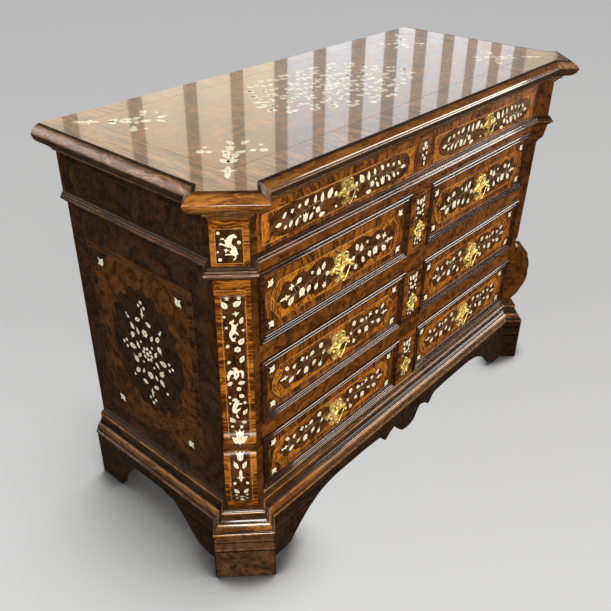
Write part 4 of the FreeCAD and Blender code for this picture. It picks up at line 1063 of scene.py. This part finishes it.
def setMaster(master, plane, name, size=1.0):
    copy = copyOf(master)
    copy.name = name
    # sized about the bail's own axis, so that it still turns on it
    axis = Matrix.Translation((0, pull["axisHigh"] * mm, 0))
    return settle(copy, plane @ axis @ Matrix.Diagonal((size, size, 1, 1)) @ axis.inverted())


pullModel, bailModel, lockModel = pullMaster(), bailMaster(), lockPlateMaster()


def setBail(plane, tag, size, finish):
    wire = setMaster(bailModel, plane, "pullBail_" + tag, size)
    rideOn(wire, finish, "bail_" + tag, "gilt_brass", "bail_" + tag)


for side, sign in sides:
    plane = wall((sign * body["shortX"], body["frontY"], body["shortZ"]))
    plate = setMaster(pullModel, plane, "pull_1_" + side, pull["shortSize"])
    rideOn(plate, "dullGilt", "drawer_1_" + side, "gilt_brass", "drawer_1_%s_plate" % side)
    setBail(plane, "1_" + side, pull["shortSize"], "dullGilt")
for tier, (low, high) in body["tiers"].items():
    middle = (low + high) / 2
    plates = []
    for side, sign in sides:
        plane = wall((sign * panel["centreX"] * mm, body["panelY"], middle - pull["drop"] * mm))
        plates.append(setMaster(pullModel, plane, "pull_%d_%s" % (tier, side), pull["longSize"]))
        setBail(plane, "%d_%s" % (tier, side), pull["longSize"], "gilt")
    plane = wall((0, body["plaqueY"], middle - lockPlate["drop"] * mm))
    plates.append(setMaster(lockModel, plane, "lockPlate_%d" % tier))
    owner = "drawer_%d" % tier
    rideOn(joinUp("brass_%d" % tier, plates), "gilt", owner, "gilt_brass", owner + "_brass")
for master in (pullModel, bailModel, lockModel):
    bpy.data.objects.remove(master)
print("brass set")

# camera of the photograph
view = {"lens": 43.36, "azimuth": 49.077, "down": 31.929, "roll": 0.591, "at": (-1.4444, -1.1040, 1.4963)}
az, el, roll = (math.radians(view[k]) for k in ("azimuth", "down", "roll"))
bpy.ops.object.camera_add()
camera = bpy.context.object
camera.data.lens = view["lens"]
camera.data.sensor_width = 36
camera.data.clip_end = 60
aimed = Matrix.Rotation(-az, 4, "Z") @ Matrix.Rotation(math.pi / 2 - el, 4, "X")
camera.matrix_world = Matrix.Translation(view["at"]) @ aimed @ Matrix.Rotation(roll, 4, "Z")
scene.camera = camera

# studio: lamps as place, size, watts, colour and aim, and upright soft panels that the polished top mirrors
centre = (0.0, -0.1, 0.55)
lamps = {
    "key": ((3.25, -2.86, 2.2), (2.9, 0.7), 98, (1.0, 0.92, 0.82), (1.77, -0.2, 0.55)),
    "strip": ((2.6, -2.3, 0.5), (2.8, 0.35), 22, (1.0, 0.96, 0.90), centre),
    "front": ((-2.8, -3.1, 2.4), (1.6, 1.6), 188, (1.0, 0.96, 0.90), centre),
    "fill": ((-1.9, 2.9, 2.7), (2.0, 1.2), 42, (0.97, 0.98, 1.0), centre),
}
studio = {
    "world": 0.165, "mirrorWorld": 0.08, "worldTint": (0.95, 0.96, 1.0), "floor": (0.60, 0.60, 0.605),
    "floorCloud": (0.5, 0.5, 0.51), "bounce": (0.18, 0.175, 0.165), "mirrorFloor": (0.05, 0.046, 0.042),
    "near": (0.80,) * 3, "far": (0.555,) * 3, "glow": 0.85,
}
# turn and width in degrees round the mirrored camera, brightness and tint
bank = {
    "from": (-1.44, -1.10), "far": 4.5, "low": 1.15, "high": 2.75,
    "tan": (1.0, 0.82, 0.58), "warm": (1.0, 0.88, 0.68), "cool": (0.84, 0.94, 1.05),
    "panels": [(47.4, 41, 0.33, "tan"), (28.6, 3.4, 0.95, "warm"), (33.3, 3.8, 1.05, "warm"),
               (37.9, 3.2, 1.2, "warm"), (41.8, 2.6, 1.2, "warm"), (45.3, 2.4, 1.2, "warm"),
               (48.5, 2.0, 1.2, "cool"), (51.4, 1.9, 1.25, "cool"), (54.1, 1.4, 1.25, "cool"),
               (56.4, 1.2, 1.2, "cool"), (58.5, 1.2, 1.15, "cool"), (60.4, 1.0, 1.15, "cool"),
               (62.1, 1.0, 1.1, "cool"), (63.8, 0.9, 1.05, "cool"), (66.2, 2.2, 0.55, "warm")],
}


def softLamp(name, at, size, watts, colour, aim):
    bpy.ops.object.light_add(type="AREA", location=at)
    light = bpy.context.object
    light.name = name
    light.data.shape = "RECTANGLE"
    light.data.size, light.data.size_y = size
    light.data.energy = watts
    light.data.color = colour
    light.rotation_euler = (Vector(aim) - Vector(at)).to_track_quat("-Z", "Y").to_euler()


for name, row in lamps.items():
    softLamp(name + "Lamp", *row)
for i, (turn, wide, level, tint) in enumerate(bank["panels"]):
    far = bank["far"] + (0.4 if tint == "tan" else 0)
    turn = math.radians(turn)
    x, y = bank["from"]
    middle = (bank["low"] + bank["high"]) / 2
    size = (far * math.radians(wide), bank["high"] - bank["low"])
    softLamp("bankLamp_%d" % i, (x + far * math.sin(turn), y + far * math.cos(turn), middle), size,
             level * math.pi * size[0] * size[1], bank[tint], (x, y, middle))
world = bpy.data.worlds.new("studioWorld")
world.use_nodes = True
tree = world.node_tree
path = addNode(tree, "LightPath").outputs
level = addNode(tree, "MapRange", {"Value": path["Is Glossy Ray"], "To Min": studio["world"],
                                   "To Max": studio["mirrorWorld"]})
feed(tree, tree.nodes["Background"].inputs["Strength"], level.outputs["Result"])
feed(tree, tree.nodes["Background"].inputs["Color"], studio["worldTint"])
scene.world = world

bpy.ops.mesh.primitive_plane_add(size=30, location=(3, 3, 0))
floor = settle(bpy.context.object)
floor.name = "studioFloor"
floorPaint, tree, at = newFinish("studioFloor")
path = addNode(tree, "LightPath").outputs
cloud = ramp(tree, noise(tree, at, 3.0, 4, 0.5), 0.3, 0.7, 0.0, 0.05)
tone = blendColour(tree, cloud, studio["floor"], studio["floorCloud"])
tone = blendColour(tree, path["Is Camera Ray"], studio["bounce"], tone)
tone = blendColour(tree, path["Is Glossy Ray"], tone, studio["mirrorFloor"])
shader = tree.nodes["Principled BSDF"]
for key, val in (("Base Color", tone), ("Roughness", 0.9), ("Specular IOR Level", 0.1)):
    feed(tree, shader.inputs[key], val)
depth = addNode(tree, "VectorMath", {0: at, 1: (math.sin(az), math.cos(az), 0)}, operation="DOT_PRODUCT")
glow = blendColour(tree, ramp(tree, depth.outputs["Value"], -1.7, 1.1), studio["near"], studio["far"])
split = addNode(tree, "SeparateXYZ", {0: at}).outputs
leftward = times(tree, ramp(tree, split["X"], -0.60, -0.40, 1.0, 0.0), ramp(tree, split["Y"], -0.44, -0.24))
for reach, low, high, share in ((0.07, 0.45, 0.9, 1.0), (0.6, 0.40, 0.97, leftward)):
    # the shadow at the feet, wide on the left and narrow before the front
    near = addNode(tree, "AmbientOcclusion", {"Distance": reach}, samples=16).outputs["AO"]
    glow = blendColour(tree, share, glow, ramp(tree, near, low, high, 0.04, 1.0), "MULTIPLY")
lit = addNode(tree, "Emission", {"Color": glow}).outputs["Emission"]
share = times(tree, path["Is Camera Ray"], studio["glow"])
mix = addNode(tree, "MixShader", {"Fac": share, 1: shader.outputs["BSDF"], 2: lit})
feed(tree, tree.nodes["Material Output"].inputs["Surface"], mix.outputs["Shader"])
floor.data.materials.append(floorPaint)
print("studio set")
